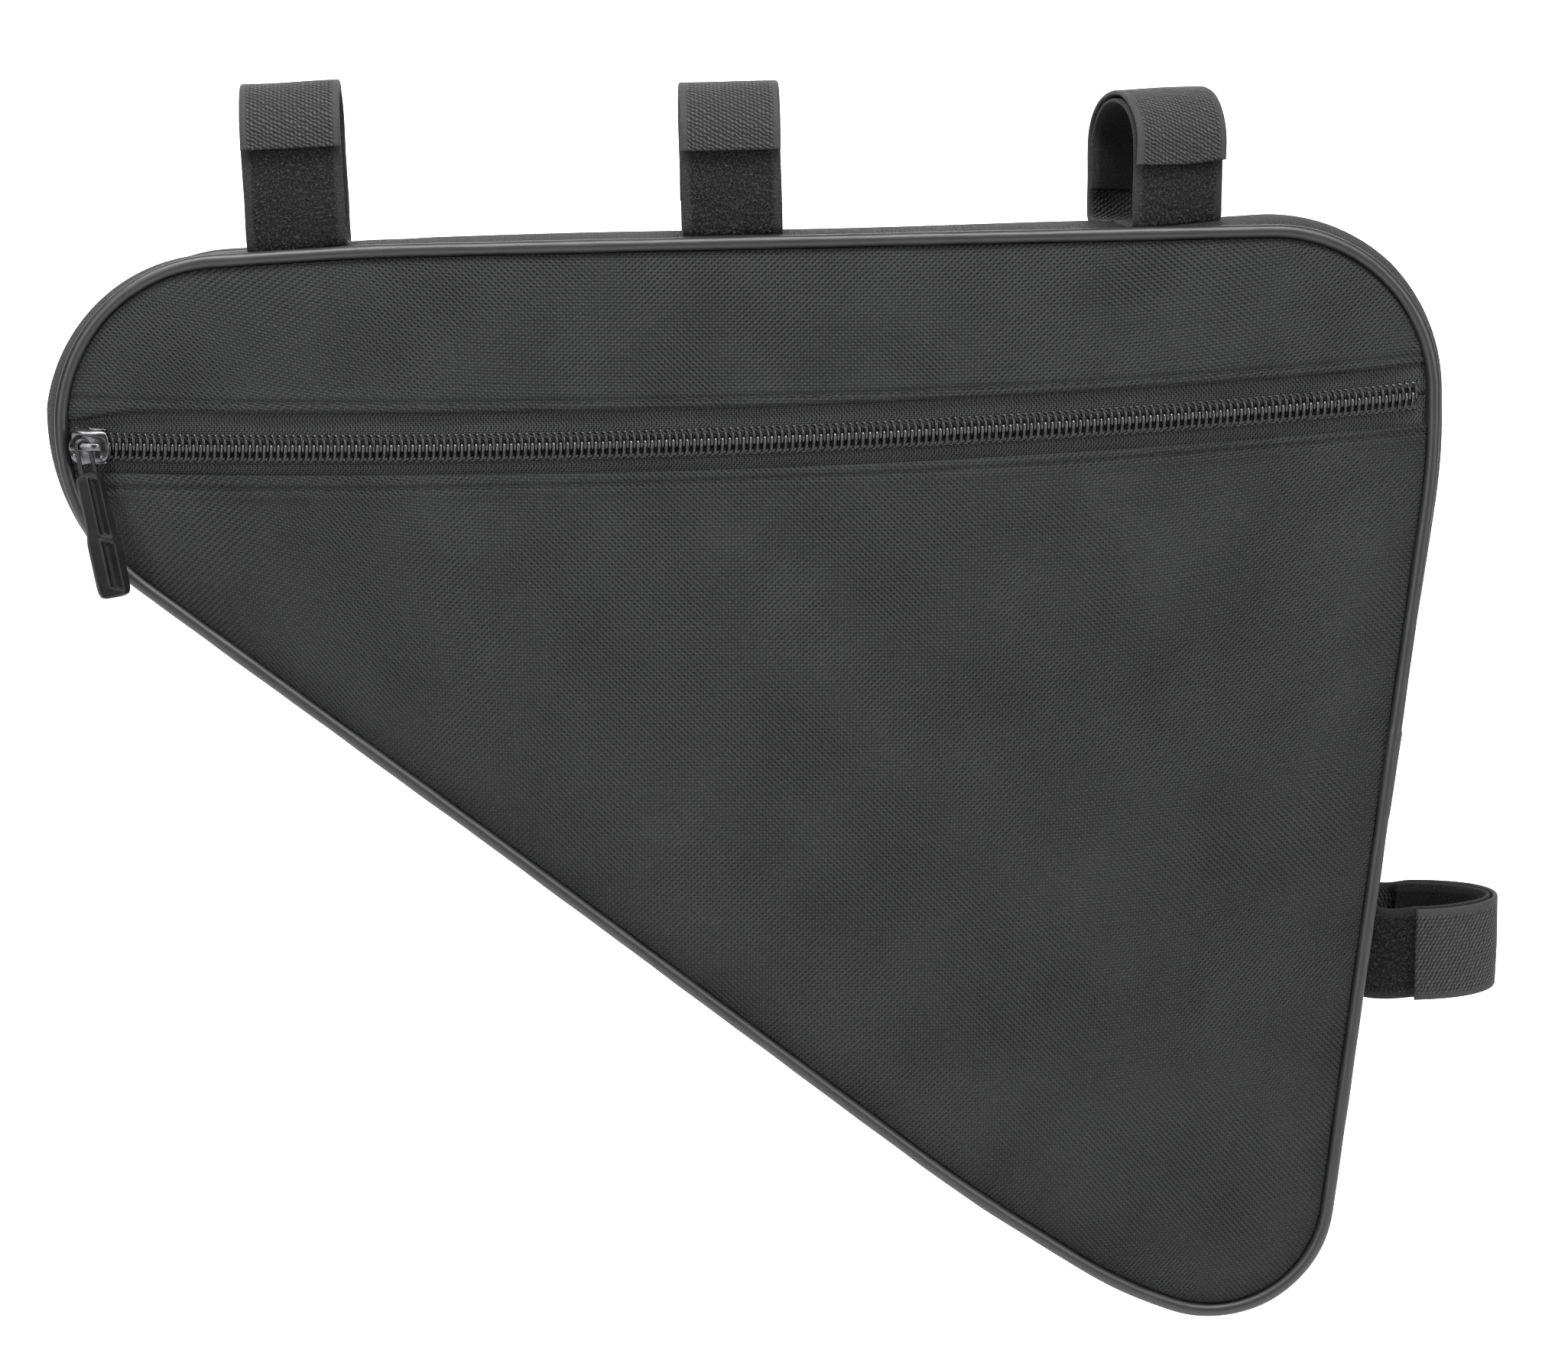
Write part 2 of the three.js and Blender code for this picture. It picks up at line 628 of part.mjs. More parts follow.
// Both tapes of one strap. The fuzzy tape starts flat under the front leg and ends low
// on the back leg. The hook tape starts flat under the back leg, lies over the fuzzy one
// and ends on the front leg.
function strapTapes(row) {
  const height = row.height * LOOP_HEIGHT;
  const half = (row.depth * LOOP_DEPTH) / 2 - GAP / 2;
  const line = { half, arch: row.arch * half, top: height - HOOK_TAPE - GAP / 2 };
  const loop = strapPath({
    ...line,
    foot: -1,
    off: -(GAP + LOOP_TAPE) / 2,
    base: GAP + LOOP_TAPE / 2,
    stop: 2 * BASE_BEND + 2 * LOOP_TAPE,
  });
  const hook = strapPath({
    ...line,
    foot: 1,
    off: (GAP + HOOK_TAPE) / 2,
    base: GAP + HOOK_TAPE / 2,
    stop: height * (1 - row.hookEnd),
  });
  return { loop: tape(loop, LOOP_TAPE, row.lean), hook: tape(hook, HOOK_TAPE, row.lean) };
}

// Assembly

function finish(color, roughness, metalness = 0) {
  return new THREE.MeshStandardMaterial({ color, roughness, metalness });
}
const MATERIALS = {
  cloth: finish(0x36373a, 0.85),
  piping: finish(0x3c3d40, 0.35),
  tape: finish(0x2c2d2f, 0.9),
  coil: finish(0x232426, 0.4),
  metal: finish(0x55565a, 0.3, 1),
  rubber: finish(0x1f2022, 0.55),
  fuzzy: finish(0x262729, 1),
  hook: finish(0x4b4c4f, 0.8),
};

function mesh(name, geometry, material) {
  const made = new THREE.Mesh(geometry, MATERIALS[material]);
  made.name = name;
  return made;
}

// The gusset's crown beside the seam point nearest to a place.
function gussetCrown(x, z) {
  const { a, b, share } = nearestOnSeam(x, z);
  const mix = (key) => THREE.MathUtils.lerp(a[key], b[key], share);
  const normal = new THREE.Vector2(mix("nx"), mix("nz")).normalize();
  const at = new THREE.Vector2(mix("x"), mix("z")).addScaledVector(normal, mix("bulge"));
  return { at, normal };
}

// Seats a strap's group on the gusset: along its crown under the tape's two edges.
function onGusset(x, z, twist) {
  const { at, normal } = gussetCrown(x, z);
  const edge = (way) => {
    const half = (way * STRAP_WIDTH) / 2;
    return gussetCrown(x + normal.y * half, z - normal.x * half).at;
  };
  const [left, right] = [edge(-1), edge(1)];
  const along = right.clone().sub(left).normalize();
  const out = new THREE.Vector2(-along.y, along.x);
  const middle = left.clone().add(right).multiplyScalar(0.5);
  middle.addScaledVector(out, Math.max(0, at.clone().sub(middle).dot(out)));
  const seat = new THREE.Group();
  seat.position.set(middle.x, -STRAP_FORWARD, middle.y);
  seat.rotation.y = Math.atan2(out.x, out.y);
  const turned = new THREE.Group();
  turned.rotation.z = rad(twist);
  seat.add(turned);
  return { seat, turned };
}

function strap(name, row, x, z) {
  const { seat, turned } = onGusset(x, z, row.twist);
  const { loop, hook } = strapTapes(row);
  turned.add(mesh(name + "_loop", loop, "fuzzy"), mesh(name + "_hook", hook, "hook"));
  return seat;
}

function zipSlider() {
  const group = new THREE.Group();
  const z = zipZ(SLIDER_X);
  const slope = (frontY(SLIDER_X + 1, z) - frontY(SLIDER_X - 1, z)) / 2;
  group.position.set(SLIDER_X, frontY(SLIDER_X, z) - COIL_PROUD, z);
  group.rotation.z = Math.atan(slope);
  group.add(mesh("zip_slider", toGeometry(slider()), "metal"));
  const pull = new THREE.Group();
  pull.position.y = BAR_OUT;
  pull.rotation.set(rad(-PULL_TILT), rad(-PULL_LEAN), rad(PULL_TWIST));
  pull.add(mesh("pull_link", pullLink(), "metal"), mesh("pull_grip", pullGrip(), "rubber"));
  group.add(pull);
  return group;
}

const bag = new THREE.Group();
const panels = frontPanels();
bag.add(
  mesh("front_upper_panel", panels.upper, "cloth"),
  mesh("front_lower_panel", panels.lower, "cloth"),
  mesh("back_panel", crownedSheet(1, BACK_CROWN, BACK_RINGS), "cloth"),
  mesh("gusset", gussetBand(), "cloth"),
  mesh("front_piping", pipingRing(-1), "piping"),
  mesh("back_piping", pipingRing(1), "piping"),
  mesh("zip_tape_upper", zipTape(1), "tape"),
  mesh("zip_tape_lower", zipTape(-1), "tape"),
  mesh("zip_coil_upper", zipCoil(1), "coil"),
  mesh("zip_coil_lower", zipCoil(-1), "coil"),
  zipSlider(),
);
for (const row of TOP_STRAPS) {
  bag.add(strap("strap_" + row.name, row, row.along * STRAP_SPACING, -TUBE_ABOVE_SEAM));
}
const [, SEAT_X] = seamSides(-SEAT_STRAP_DROP);
bag.add(strap("seat_strap", SEAT_STRAP, SEAT_X, -SEAT_STRAP_DROP));

export default bag;
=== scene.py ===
# %% [markdown]
# # A triangular bicycle frame bag
#
# This lesson dresses a bag whose construction is already packed as a frame of plain
# solids. Two cloth panels are sewn to a gusset band, with a shiny piping in each seam. A
# coil zip crosses the front, and four hook-and-loop straps stand ready for the tubes.
# Every piece is made here at its real size, in the frame's own place.

# %% Load the frame
import json
import math

import bmesh
import bpy
import numpy as np
from mathutils import Matrix, Vector
from mathutils.kdtree import KDTree


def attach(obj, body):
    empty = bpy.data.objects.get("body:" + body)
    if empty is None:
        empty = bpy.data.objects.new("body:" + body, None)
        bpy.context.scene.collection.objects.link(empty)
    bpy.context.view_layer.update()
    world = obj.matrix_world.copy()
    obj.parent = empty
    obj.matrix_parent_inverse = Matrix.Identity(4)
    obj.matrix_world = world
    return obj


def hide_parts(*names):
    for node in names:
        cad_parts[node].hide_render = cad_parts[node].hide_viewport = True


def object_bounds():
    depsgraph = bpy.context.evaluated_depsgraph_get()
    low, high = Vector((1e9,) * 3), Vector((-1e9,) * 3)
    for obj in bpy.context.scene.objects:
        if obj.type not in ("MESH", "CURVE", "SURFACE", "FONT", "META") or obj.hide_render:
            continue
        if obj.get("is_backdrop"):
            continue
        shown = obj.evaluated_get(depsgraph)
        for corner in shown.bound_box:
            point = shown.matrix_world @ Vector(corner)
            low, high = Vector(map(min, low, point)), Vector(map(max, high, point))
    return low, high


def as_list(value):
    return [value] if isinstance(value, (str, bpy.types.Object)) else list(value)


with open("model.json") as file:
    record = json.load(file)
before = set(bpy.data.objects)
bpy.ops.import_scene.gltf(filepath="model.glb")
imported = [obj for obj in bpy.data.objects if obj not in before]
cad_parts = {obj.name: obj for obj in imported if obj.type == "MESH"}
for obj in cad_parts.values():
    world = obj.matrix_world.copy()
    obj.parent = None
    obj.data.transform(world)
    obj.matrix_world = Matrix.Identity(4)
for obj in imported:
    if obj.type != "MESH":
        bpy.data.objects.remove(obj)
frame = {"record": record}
CAD_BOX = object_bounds()
MM = 0.001
rng = np.random.default_rng(7)

# %% [markdown]
# ## Camera, floor and light
#
# The photograph was taken from the front, a little above the bag, with a long lens. The
# camera could be fitted by eye. Here its place, aim and lens are written as real sizes,
# worked out from how far apart the bag's corners stand in the photograph.

# %% Camera
CAMERA_AT = (-31.68, -1290.86, 12.17)
CAMERA_AIM = (13.40, 0.0, -135.00)
SENSOR_WIDTH = 36
LENS = 117.02


def add_camera():
    data = bpy.data.cameras.new("camera")
    data.sensor_width = SENSOR_WIDTH
    data.lens = LENS
    camera = bpy.data.objects.new("camera", data)
    camera.location = Vector(CAMERA_AT) * MM
    aim = (Vector(CAMERA_AIM) - Vector(CAMERA_AT)).to_track_quat("-Z", "Y")
    camera.rotation_euler = aim.to_euler()
    bpy.context.scene.collection.objects.link(camera)
    bpy.context.scene.camera = camera
    return camera


camera = add_camera()
print("camera", round(camera.location.length, 3), "m from the origin")

# %% [markdown]
# A pale sweep is a studio's plainest background: one sheet that is floor in front and
# wall behind, with a wide bend between. A grid bent along its length makes it, and it
# glows a little, so that it stays white where the lights fall off.

# %% Floor that bends up into a wall
FLOOR_LEVEL = -372
FLOOR_FRONT = -1300
FLOOR_BACK = 700
SWEEP_RADIUS = 700
SWEEP_WIDTH = 6000
SWEEP_STEPS = 64
WALL_HEIGHT = 2400
SWEEP_GLOW = 0.12


def sweep_profile():
    bend = [math.pi / 2 * step / SWEEP_STEPS for step in range(SWEEP_STEPS + 1)]
    line = [(FLOOR_FRONT, FLOOR_LEVEL)]
    for turn in bend:
        back = FLOOR_BACK + SWEEP_RADIUS * math.sin(turn)
        line.append((back, FLOOR_LEVEL + SWEEP_RADIUS * (1 - math.cos(turn))))
    line.append((FLOOR_BACK + SWEEP_RADIUS, WALL_HEIGHT))
    return line


def add_sweep():
    bm = bmesh.new()
    line = [bm.verts.new((-SWEEP_WIDTH / 2 * MM, y * MM, z * MM)) for y, z in sweep_profile()]
    edges = [bm.edges.new(pair) for pair in zip(line, line[1:])]
    made = bmesh.ops.extrude_edge_only(bm, edges=edges)
    moved = [v for v in made["geom"] if isinstance(v, bmesh.types.BMVert)]
    bmesh.ops.translate(bm, verts=moved, vec=(SWEEP_WIDTH * MM, 0, 0))
    bmesh.ops.recalc_face_normals(bm, faces=bm.faces)
    mesh = bpy.data.meshes.new("sweep")
    bm.to_mesh(mesh)
    bm.free()
    mesh.shade_smooth()
    sweep = bpy.data.objects.new("sweep", mesh)
    bpy.context.scene.collection.objects.link(sweep)
    paint = bpy.data.materials.new("sweep paint")
    paint.use_nodes = True
    shader = paint.node_tree.nodes["Principled BSDF"]
    shader.inputs["Base Color"].default_value = (0.9, 0.9, 0.9, 1)
    shader.inputs["Roughness"].default_value = 0.9
    shader.inputs["Emission Color"].default_value = (1, 1, 1, 1)
    shader.inputs["Emission Strength"].default_value = SWEEP_GLOW
    mesh.materials.append(paint)
    sweep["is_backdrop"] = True
    return sweep


sweep = add_sweep()
print("sweep faces", len(sweep.data.polygons))

# %% [markdown]
# The cloth is nearly black, so its weave shows only where its threads mirror something
# bright. A small lamp would leave hard streaks. Wide soft boxes stand at both sides and
# above instead, and a fourth lights the wall. The world's own white stays faint, so that
# the gaps between the threads keep dark.

# %% Soft lights
# Each light: where it stands and how wide and tall it is in millimetres, and its watts. The
# last one stands behind the bag and turns away from it, to whiten the wall.
LIGHTS = {
    "left": {"at": (-850, -1100, 320), "size": (480, 900), "watts": 6.8},
    "right": {"at": (1100, -850, 320), "size": (500, 900), "watts": 7.5},
    "above": {"at": (-60, -290, 540), "size": (1100, 220), "watts": 8.4},
    "wall": {"at": (0, 420, 700), "size": (1600, 500), "watts": 37, "aim": (0, 1400, 100)},
}
LIGHT_AIM = (0, 0, -140)
WORLD_GLOW = 0.03


def add_light(name, at, size, watts, aim=LIGHT_AIM):
    data = bpy.data.lights.new(name, "AREA")
    data.shape = "RECTANGLE"
    data.size = size[0] * MM
    data.size_y = size[1] * MM
    data.energy = watts
    light = bpy.data.objects.new(name, data)
    light.location = Vector(at) * MM
    aim = (Vector(aim) - Vector(at)).to_track_quat("-Z", "Y")
    light.rotation_euler = aim.to_euler()
    bpy.context.scene.collection.objects.link(light)


def add_world(strength):
    world = bpy.data.worlds.new("studio")
    world.use_nodes = True
    background = world.node_tree.nodes["Background"]
    background.inputs["Color"].default_value = (1, 1, 1, 1)
    background.inputs["Strength"].default_value = strength
    bpy.context.scene.world = world


for light_name, light in LIGHTS.items():
    add_light(light_name, **light)
add_world(WORLD_GLOW)
bpy.context.scene.view_settings.view_transform = "Standard"
print("lights", list(LIGHTS))

# %% [markdown]
# ## The seam line
#
# On the real bag one closed line rules everything: the seam where panel, piping and
# gusset meet. It could be drawn as a Bezier curve. It is worked out instead from nine
# corners and their radii, in millimetres, so that the cloth, the piping and the straps
# can all ask it where they are.

# %% Sizes of the bag
BAG_LENGTH = 341.5
BAG_HEIGHT = 284.5
BAG_DEPTH = 50
LEFT_OF_STRAP = 166.5
TUBE_ABOVE_SEAM = 18.2
CORNER_RADIUS = 40.5
GUSSET_BULGE = 6.1
FRONT_CROWN = 7
BACK_CROWN = 5
CROWN_SPREAD = 14
PIPING_RADIUS = 1.65
GAP = 0.3
PANEL_INSET = PIPING_RADIUS + GAP
ARC_POINTS = 24
SEAM_POINTS = 2400

# Shares of the length across and of the height down, and each corner's radius as a share
# of CORNER_RADIUS, clockwise from the top left.
CORNERS = [
    (0, 0.037, 1),
    (0.222, 0.02, 14.8),
    (0.9985, 0, 1),
    (1, 0.203, 4.35),
    (0.915, 1, 0.765),
    (0.7745, 0.943, 2.9),
    (0.66, 0.8555, 9.7),
    (0.319, 0.545, 9.7),
    (0, 0.26, 1.22),
]
# The same shares across and down, and how far the gusset stands out there as a share of
# GUSSET_BULGE.
BULGES = [
    (0, 0.16, 1),
    (0.035, 0.08, 0.6),
    (0.11, 0.03, 0.18),
    (0.27, 0.02, 0.42),
    (0.83, 0, 0.45),
    (0.96, 0.05, 0.9),
    (1, 0.2, 0.92),
    (0.95, 0.7, 0.6),
    (0.9, 0.95, 0.36),
    (0.66, 0.855, 0.22),
    (0.319, 0.545, 0.22),
    (0.06, 0.3, 0.68),
]


# %% Seam line as a fine curve
def in_box(across, down):
    x = across * BAG_LENGTH - LEFT_OF_STRAP
    return np.array((x, -TUBE_ABOVE_SEAM - down * BAG_HEIGHT))


def rounded_outline():
    at = np.array([in_box(across, down) for across, down, _ in CORNERS])
    side = np.roll(at, -1, axis=0) - at
    length = np.hypot(side[:, 0], side[:, 1])
    out = side / length[:, None]
    into = np.roll(out, 1, axis=0)
    cross = into[:, 0] * out[:, 1] - into[:, 1] * out[:, 0]
    turn = np.arctan2(cross, (into * out).sum(axis=1))
    half_turn = np.tan(abs(turn) / 2)
    reach = CORNER_RADIUS * np.array([row[2] for row in CORNERS]) * half_turn
    fits = 0.99 * length / (reach + np.roll(reach, -1))
    reach = reach * np.minimum(1, np.minimum(fits, np.roll(fits, 1)))
    line = []
    for i, corner in enumerate(at):
        radius = reach[i] / half_turn[i]
        inward = np.array((-into[i][1], into[i][0])) * np.sign(turn[i])
        for angle in np.linspace(0, abs(turn[i]), ARC_POINTS):
            step = np.sin(angle) * into[i] + (1 - np.cos(angle)) * inward
            line.append(corner - into[i] * reach[i] + radius * step)
    return np.array(line)


def along_outline(line):
    closed = np.vstack((line, line[:1]))
    step = np.diff(closed, axis=0)
    gone = np.concatenate(([0], np.cumsum(np.hypot(step[:, 0], step[:, 1]))))
    at = np.linspace(0, gone[-1], SEAM_POINTS + 1)
    return at, np.column_stack([np.interp(at, gone, closed[:, k]) for k in (0, 1)])


SEAM_AT, SEAM_PLACE = along_outline(rounded_outline())
SEAM_LENGTH = SEAM_AT[-1]
heading = np.roll(SEAM_PLACE[:-1], -1, axis=0) - np.roll(SEAM_PLACE[:-1], 1, axis=0)
heading = heading / np.hypot(heading[:, 0], heading[:, 1])[:, None]
SEAM_NORMAL = np.column_stack((-heading[:, 1], heading[:, 0]))
SEAM_NORMAL = np.vstack((SEAM_NORMAL, SEAM_NORMAL[:1]))

seam_tree = KDTree(SEAM_POINTS)
for index, (x, z) in enumerate(SEAM_PLACE[:-1]):
    seam_tree.insert((x, z, 0), index)
seam_tree.balance()


def seam_position(x, z):
    """How far along the seam line the place nearest to x, z is."""
    return SEAM_AT[seam_tree.find((x, z, 0))[1]]


bulge_knots = sorted((seam_position(*in_box(a, d)), out) for a, d, out in BULGES)
knot_at = np.array([at for at, _ in bulge_knots])
knot_out = np.array([out for _, out in bulge_knots]) * GUSSET_BULGE
SEAM_BULGE = np.interp(SEAM_AT, knot_at, knot_out, period=SEAM_LENGTH)


def seam(s):
    """The seam line s millimetres along: place, outward normal and gusset bulge."""
    s = np.mod(s, SEAM_LENGTH)
    values = (SEAM_PLACE[:, 0], SEAM_PLACE[:, 1], SEAM_NORMAL[:, 0], SEAM_NORMAL[:, 1], SEAM_BULGE)
    return [np.interp(s, SEAM_AT, value) for value in values]


def to_seam(x, z):
    """How far inside the seam line each place is."""
    found = np.array([seam_tree.find((a, b, 0))[1] for a, b in zip(x, z)], int)
    off = np.column_stack((x, z)) - SEAM_PLACE[found]
    return -(off * SEAM_NORMAL[found]).sum(axis=1)


print("seam line", round(float(SEAM_LENGTH)), "mm round")

# %% [markdown]
# ## Helpers that lay cloth
#
# Nearly everything on a bag is a sheet or a tube that follows a line. Both start from one
# grid of cells: a function says where each point of the grid lies, and the grid's own
# flat place is kept as a UV map in millimetres, so a weave follows the cloth.


# %% Lay a grid where a function says
def away_from(bm, centre):
    """Turns an open sheet so that its faces point away from a place."""
    middle = Vector(centre) * MM
    way = sum(f.calc_area() * f.normal.dot(f.calc_center_median() - middle) for f in bm.faces)
    if way < 0:
        bmesh.ops.reverse_faces(bm, faces=bm.faces)


def lay(name, across, along, place, centre=None, capped=False):
    """A grid of cells whose points place(u, v) puts in millimetres, with its UV maps.
    Edges that meet are merged, and capped closes the holes at a tube's ends."""
    bm = bmesh.new()
    bmesh.ops.create_grid(bm, x_segments=across, y_segments=along, size=0.5)
    mesh = bpy.data.meshes.new(name)
    bm.to_mesh(mesh)
    bm.free()
    flat = np.empty(len(mesh.vertices) * 3, np.float32)
    mesh.vertices.foreach_get("co", flat)
    u, v = flat.reshape(-1, 3)[:, 0] + 0.5, flat.reshape(-1, 3)[:, 1] + 0.5
    points, maps = place(u.astype(float), v.astype(float))
    mesh.vertices.foreach_set("co", (points * MM).astype(np.float32).ravel())
    corner = np.empty(len(mesh.loops), np.int32)
    mesh.loops.foreach_get("vertex_index", corner)
    for map_name, values in maps.items():
        layer = mesh.uv_layers.new(name=map_name)
        layer.data.foreach_set("uv", values[corner].astype(np.float32).ravel())
    tidy(mesh, centre, capped)
    return mesh


MERGE_WITHIN = 2e-6


def tidy(mesh, centre, capped):
    bm = bmesh.new()
    bm.from_mesh(mesh)
    bmesh.ops.remove_doubles(bm, verts=bm.verts, dist=MERGE_WITHIN)
    bmesh.ops.dissolve_degenerate(bm, edges=bm.edges, dist=MERGE_WITHIN)
    if capped:
        rim = [e for e in bm.edges if e.is_boundary]
        bmesh.ops.holes_fill(bm, edges=rim, sides=0)
    if centre is None:
        bmesh.ops.recalc_face_normals(bm, faces=bm.faces)
    else:
        bm.normal_update()
        away_from(bm, centre)
    bm.to_mesh(mesh)
    bm.free()


def lerp(a, b, share):
    return a + (b - a) * share


def smooth(value, low, high):
    share = np.clip((value - low) / (high - low), 0, 1)
    return share * share * (3 - 2 * share)


def hump(value, width):
    """1 at zero, falling softly to nothing at about twice the width."""
    return np.exp(-((value / width) ** 2))


# %% Finish a piece and repeat a part
def piece(name, mesh, material, body="bag", replaces=(), wall=0):
    obj = bpy.data.objects.new(name, mesh)
    bpy.context.scene.collection.objects.link(obj)
    mesh.materials.append(material)
    mesh.shade_smooth()
    if wall:
        shell = obj.modifiers.new("wall", "SOLIDIFY")
        shell.thickness = wall * MM
        shell.offset = -1
    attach(obj, body)
    if replaces:
        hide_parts(*replaces)
    print(name, len(mesh.polygons), "faces")
    return obj


def repeated(name, part, places):
    """One mesh that holds a copy of part for each 4x4 matrix in places."""
    count = len(places)
    points = np.empty(len(part.vertices) * 3)
    part.vertices.foreach_get("co", points)
    points = points.reshape(-1, 3)
    turn, shift = places[:, :3, :3], places[:, :3, 3]
    spread = np.einsum("nij,vj->nvi", turn, points) + shift[:, None, :]
    corner = np.empty(len(part.loops), np.int32)
    part.loops.foreach_get("vertex_index", corner)
    start = np.empty(len(part.polygons), np.int32)
    part.polygons.foreach_get("loop_start", start)
    offsets = np.arange(count)[:, None]
    mesh = bpy.data.meshes.new(name)
    mesh.vertices.add(count * len(points))
    mesh.vertices.foreach_set("co", (spread * MM).astype(np.float32).ravel())
    mesh.loops.add(count * len(corner))
    mesh.loops.foreach_set("vertex_index", (corner + offsets * len(points)).ravel())
    mesh.polygons.add(count * len(start))
    mesh.polygons.foreach_set("loop_start", (start + offsets * len(corner)).ravel())
    mesh.update(calc_edges=True)
    return mesh


def facing(at, along, out):
    """A matrix at a place whose x runs along a line and whose z points out."""
    x = np.asarray(along, float) / np.linalg.norm(along)
    y = np.cross(out, x)
    y = y / np.linalg.norm(y)
    made = np.eye(4)
    made[:3, :3] = np.column_stack((x, y, np.cross(x, y)))
    made[:3, 3] = at
    return made


# %% [markdown]
# ## Finishes
#
# A material is wired from small nodes. The helper below keeps the wiring short: it makes
# a node, fills its sockets with numbers or with other nodes, and hands it back. Numbers
# that are the same all over a surface stay on the shader's own sockets.


# %% Wiring helper
class Finish:
    """A material under construction."""

    def __init__(self, name, **shader_values):
        self.material = bpy.data.materials.new(name)
        self.material.use_nodes = True
        self.nodes = self.material.node_tree.nodes
        self.shader = self.nodes["Principled BSDF"]
        for key, value in shader_values.items():
            self.shader.inputs[key.replace("_", " ")].default_value = value

    def fill(self, socket, value):
        if isinstance(value, bpy.types.Node):
            value = value.outputs[0]
        if isinstance(value, bpy.types.NodeSocket):
            self.material.node_tree.links.new(value, socket)
        else:
            socket.default_value = value

    def node(self, kind, inputs=None, **settings):
        made = self.nodes.new("ShaderNode" + kind)
        for key, value in settings.items():
            setattr(made, key, value)
        for key, value in (inputs or {}).items():
            self.fill(made.inputs[key], value)
        return made

    def math(self, operation, *values):
        return self.node("Math", dict(enumerate(values)), operation=operation)

    def map(self, name):
        """The two coordinates of a UV map, in millimetres."""
        place = self.node("UVMap", uv_map=name)
        parts = self.node("SeparateXYZ", {0: place})
        return parts.outputs[0], parts.outputs[1], place

    def noise(self, place, scale, detail=2.0, rough=0.5):
        values = {"Vector": place, "Scale": scale, "Detail": detail, "Roughness": rough}
        return self.node("TexNoise", values)

    def stretched(self, place, scale):
        return self.node("Mapping", {"Vector": place, "Scale": scale})

    def ramp(self, factor, *stops):
        """Tones between stops, each a place from 0 to 1 and a grey or a colour."""
        made = self.node("ValToRGB", {0: factor})
        ladder = made.color_ramp.elements
        while len(ladder) < len(stops):
            ladder.new(0.5)
        for element, (at, tone) in zip(ladder, stops):
            element.position = at
            rgb = tone if hasattr(tone, "__len__") else (tone, tone, tone)
            element.color = (*rgb, 1)
        return made

    def bump(self, height, depth):
        """Bump whose full height is depth millimetres."""
        return self.node("Bump", {"Strength": 1.0, "Distance": depth * MM, "Height": height})

    def done(self, colour=None, roughness=None, normal=None):
        wanted = {"Base Color": colour, "Roughness": roughness, "Normal": normal}
        for key, value in wanted.items():
            if value is not None:
                self.fill(self.shader.inputs[key], value)
        return self.material


print("finish helper ready")

# %% [markdown]
# The body is coarse oxford cloth: a plain weave whose threads are about 0.78 mm apart.
# Each thread rises over one neighbour and dips under the next. Two sines and their signs
# say which thread is on top, and the higher of the two is what shows. Where the cloth is
# pulled, one diagonal of the weave stands out more than the other, so a slow noise leans
# the pattern either way.

# %% Oxford cloth
THREAD_ACROSS = 0.78
THREAD_UP = 0.75


def plain_weave(m, x, y, across, up):
    """Height from 0 to 1 of a plain weave with these thread pitches."""
    a = m.math("SINE", m.math("MULTIPLY", x, math.pi / across))
    b = m.math("SINE", m.math("MULTIPLY", y, math.pi / up))
    warp_rise = m.math("MULTIPLY_ADD", m.math("MULTIPLY", b, m.math("SIGN", a)), 0.5, 0.5)
    weft_rise = m.math("MULTIPLY_ADD", m.math("MULTIPLY", a, m.math("SIGN", b)), -0.5, 0.5)
    warp = m.math("MULTIPLY", m.math("ABSOLUTE", a), warp_rise)
    weft = m.math("MULTIPLY", m.math("ABSOLUTE", b), weft_rise)
    return m.math("MAXIMUM", warp, weft)


def diagonal_lean(m, x, y, across, up, lean):
    """The weave's two diagonals, the first of them weighed by lean from 0 to 1."""
    u = m.math("MULTIPLY", x, math.pi / across)
    v = m.math("MULTIPLY", y, math.pi / up)
    rising = m.math("COSINE", m.math("SUBTRACT", u, v))
    falling = m.math("COSINE", m.math("ADD", u, v))
    rest = m.math("SUBTRACT", 1.0, lean)
    both = m.math("SUBTRACT", m.math("MULTIPLY", rising, lean), m.math("MULTIPLY", falling, rest))
    return m.math("MULTIPLY_ADD", both, 0.5, 0.5)


def oxford(name, dark, light, shine, depth=0.95):
    m = Finish(name, Roughness=0.6, Specular_IOR_Level=shine, Sheen_Weight=0.04)
    x, y, place = m.map("flat")
    woven = plain_weave(m, x, y, THREAD_ACROSS, THREAD_UP)
    slow = m.noise(place, 0.018, 1.0)
    lean = m.ramp(slow, (0.42, 0.02), (0.58, 0.98))
    diagonal = diagonal_lean(m, x, y, THREAD_ACROSS, THREAD_UP, lean)
    weft_slub = m.noise(m.stretched(place, (0.12, 1.3, 1)), 1.0, 2.0)
    warp_slub = m.noise(m.stretched(place, (1.3, 0.12, 1)), 1.0, 2.0)
    slub = m.math("ADD", weft_slub, warp_slub)
    grain = m.noise(place, 2.6, 3.0, 0.7)
    both = m.math("ADD", m.math("MULTIPLY", woven, 0.5), m.math("MULTIPLY", diagonal, 0.5))
    height = m.math("ADD", both, m.math("MULTIPLY", slub, 0.35))
    height = m.math("ADD", height, m.math("MULTIPLY", grain, 0.6))
    wear = m.noise(place, 0.035, 3.0)
    # The colour follows the weave's height: its low places between the threads are painted darker, as
    # painted shade; random grain and wear vary the tone on top.
    tone = m.math("ADD", m.math("MULTIPLY", both, 0.6), m.math("MULTIPLY", grain, 0.4))
    tone = m.math("ADD", tone, m.math("MULTIPLY_ADD", wear, 0.3, -0.1))
    colour = m.ramp(tone, (0.34, dark), (0.72, light))
    rough = m.math("MULTIPLY_ADD", grain, -0.3, 0.78)
    return m.done(colour, rough, m.bump(height, depth))


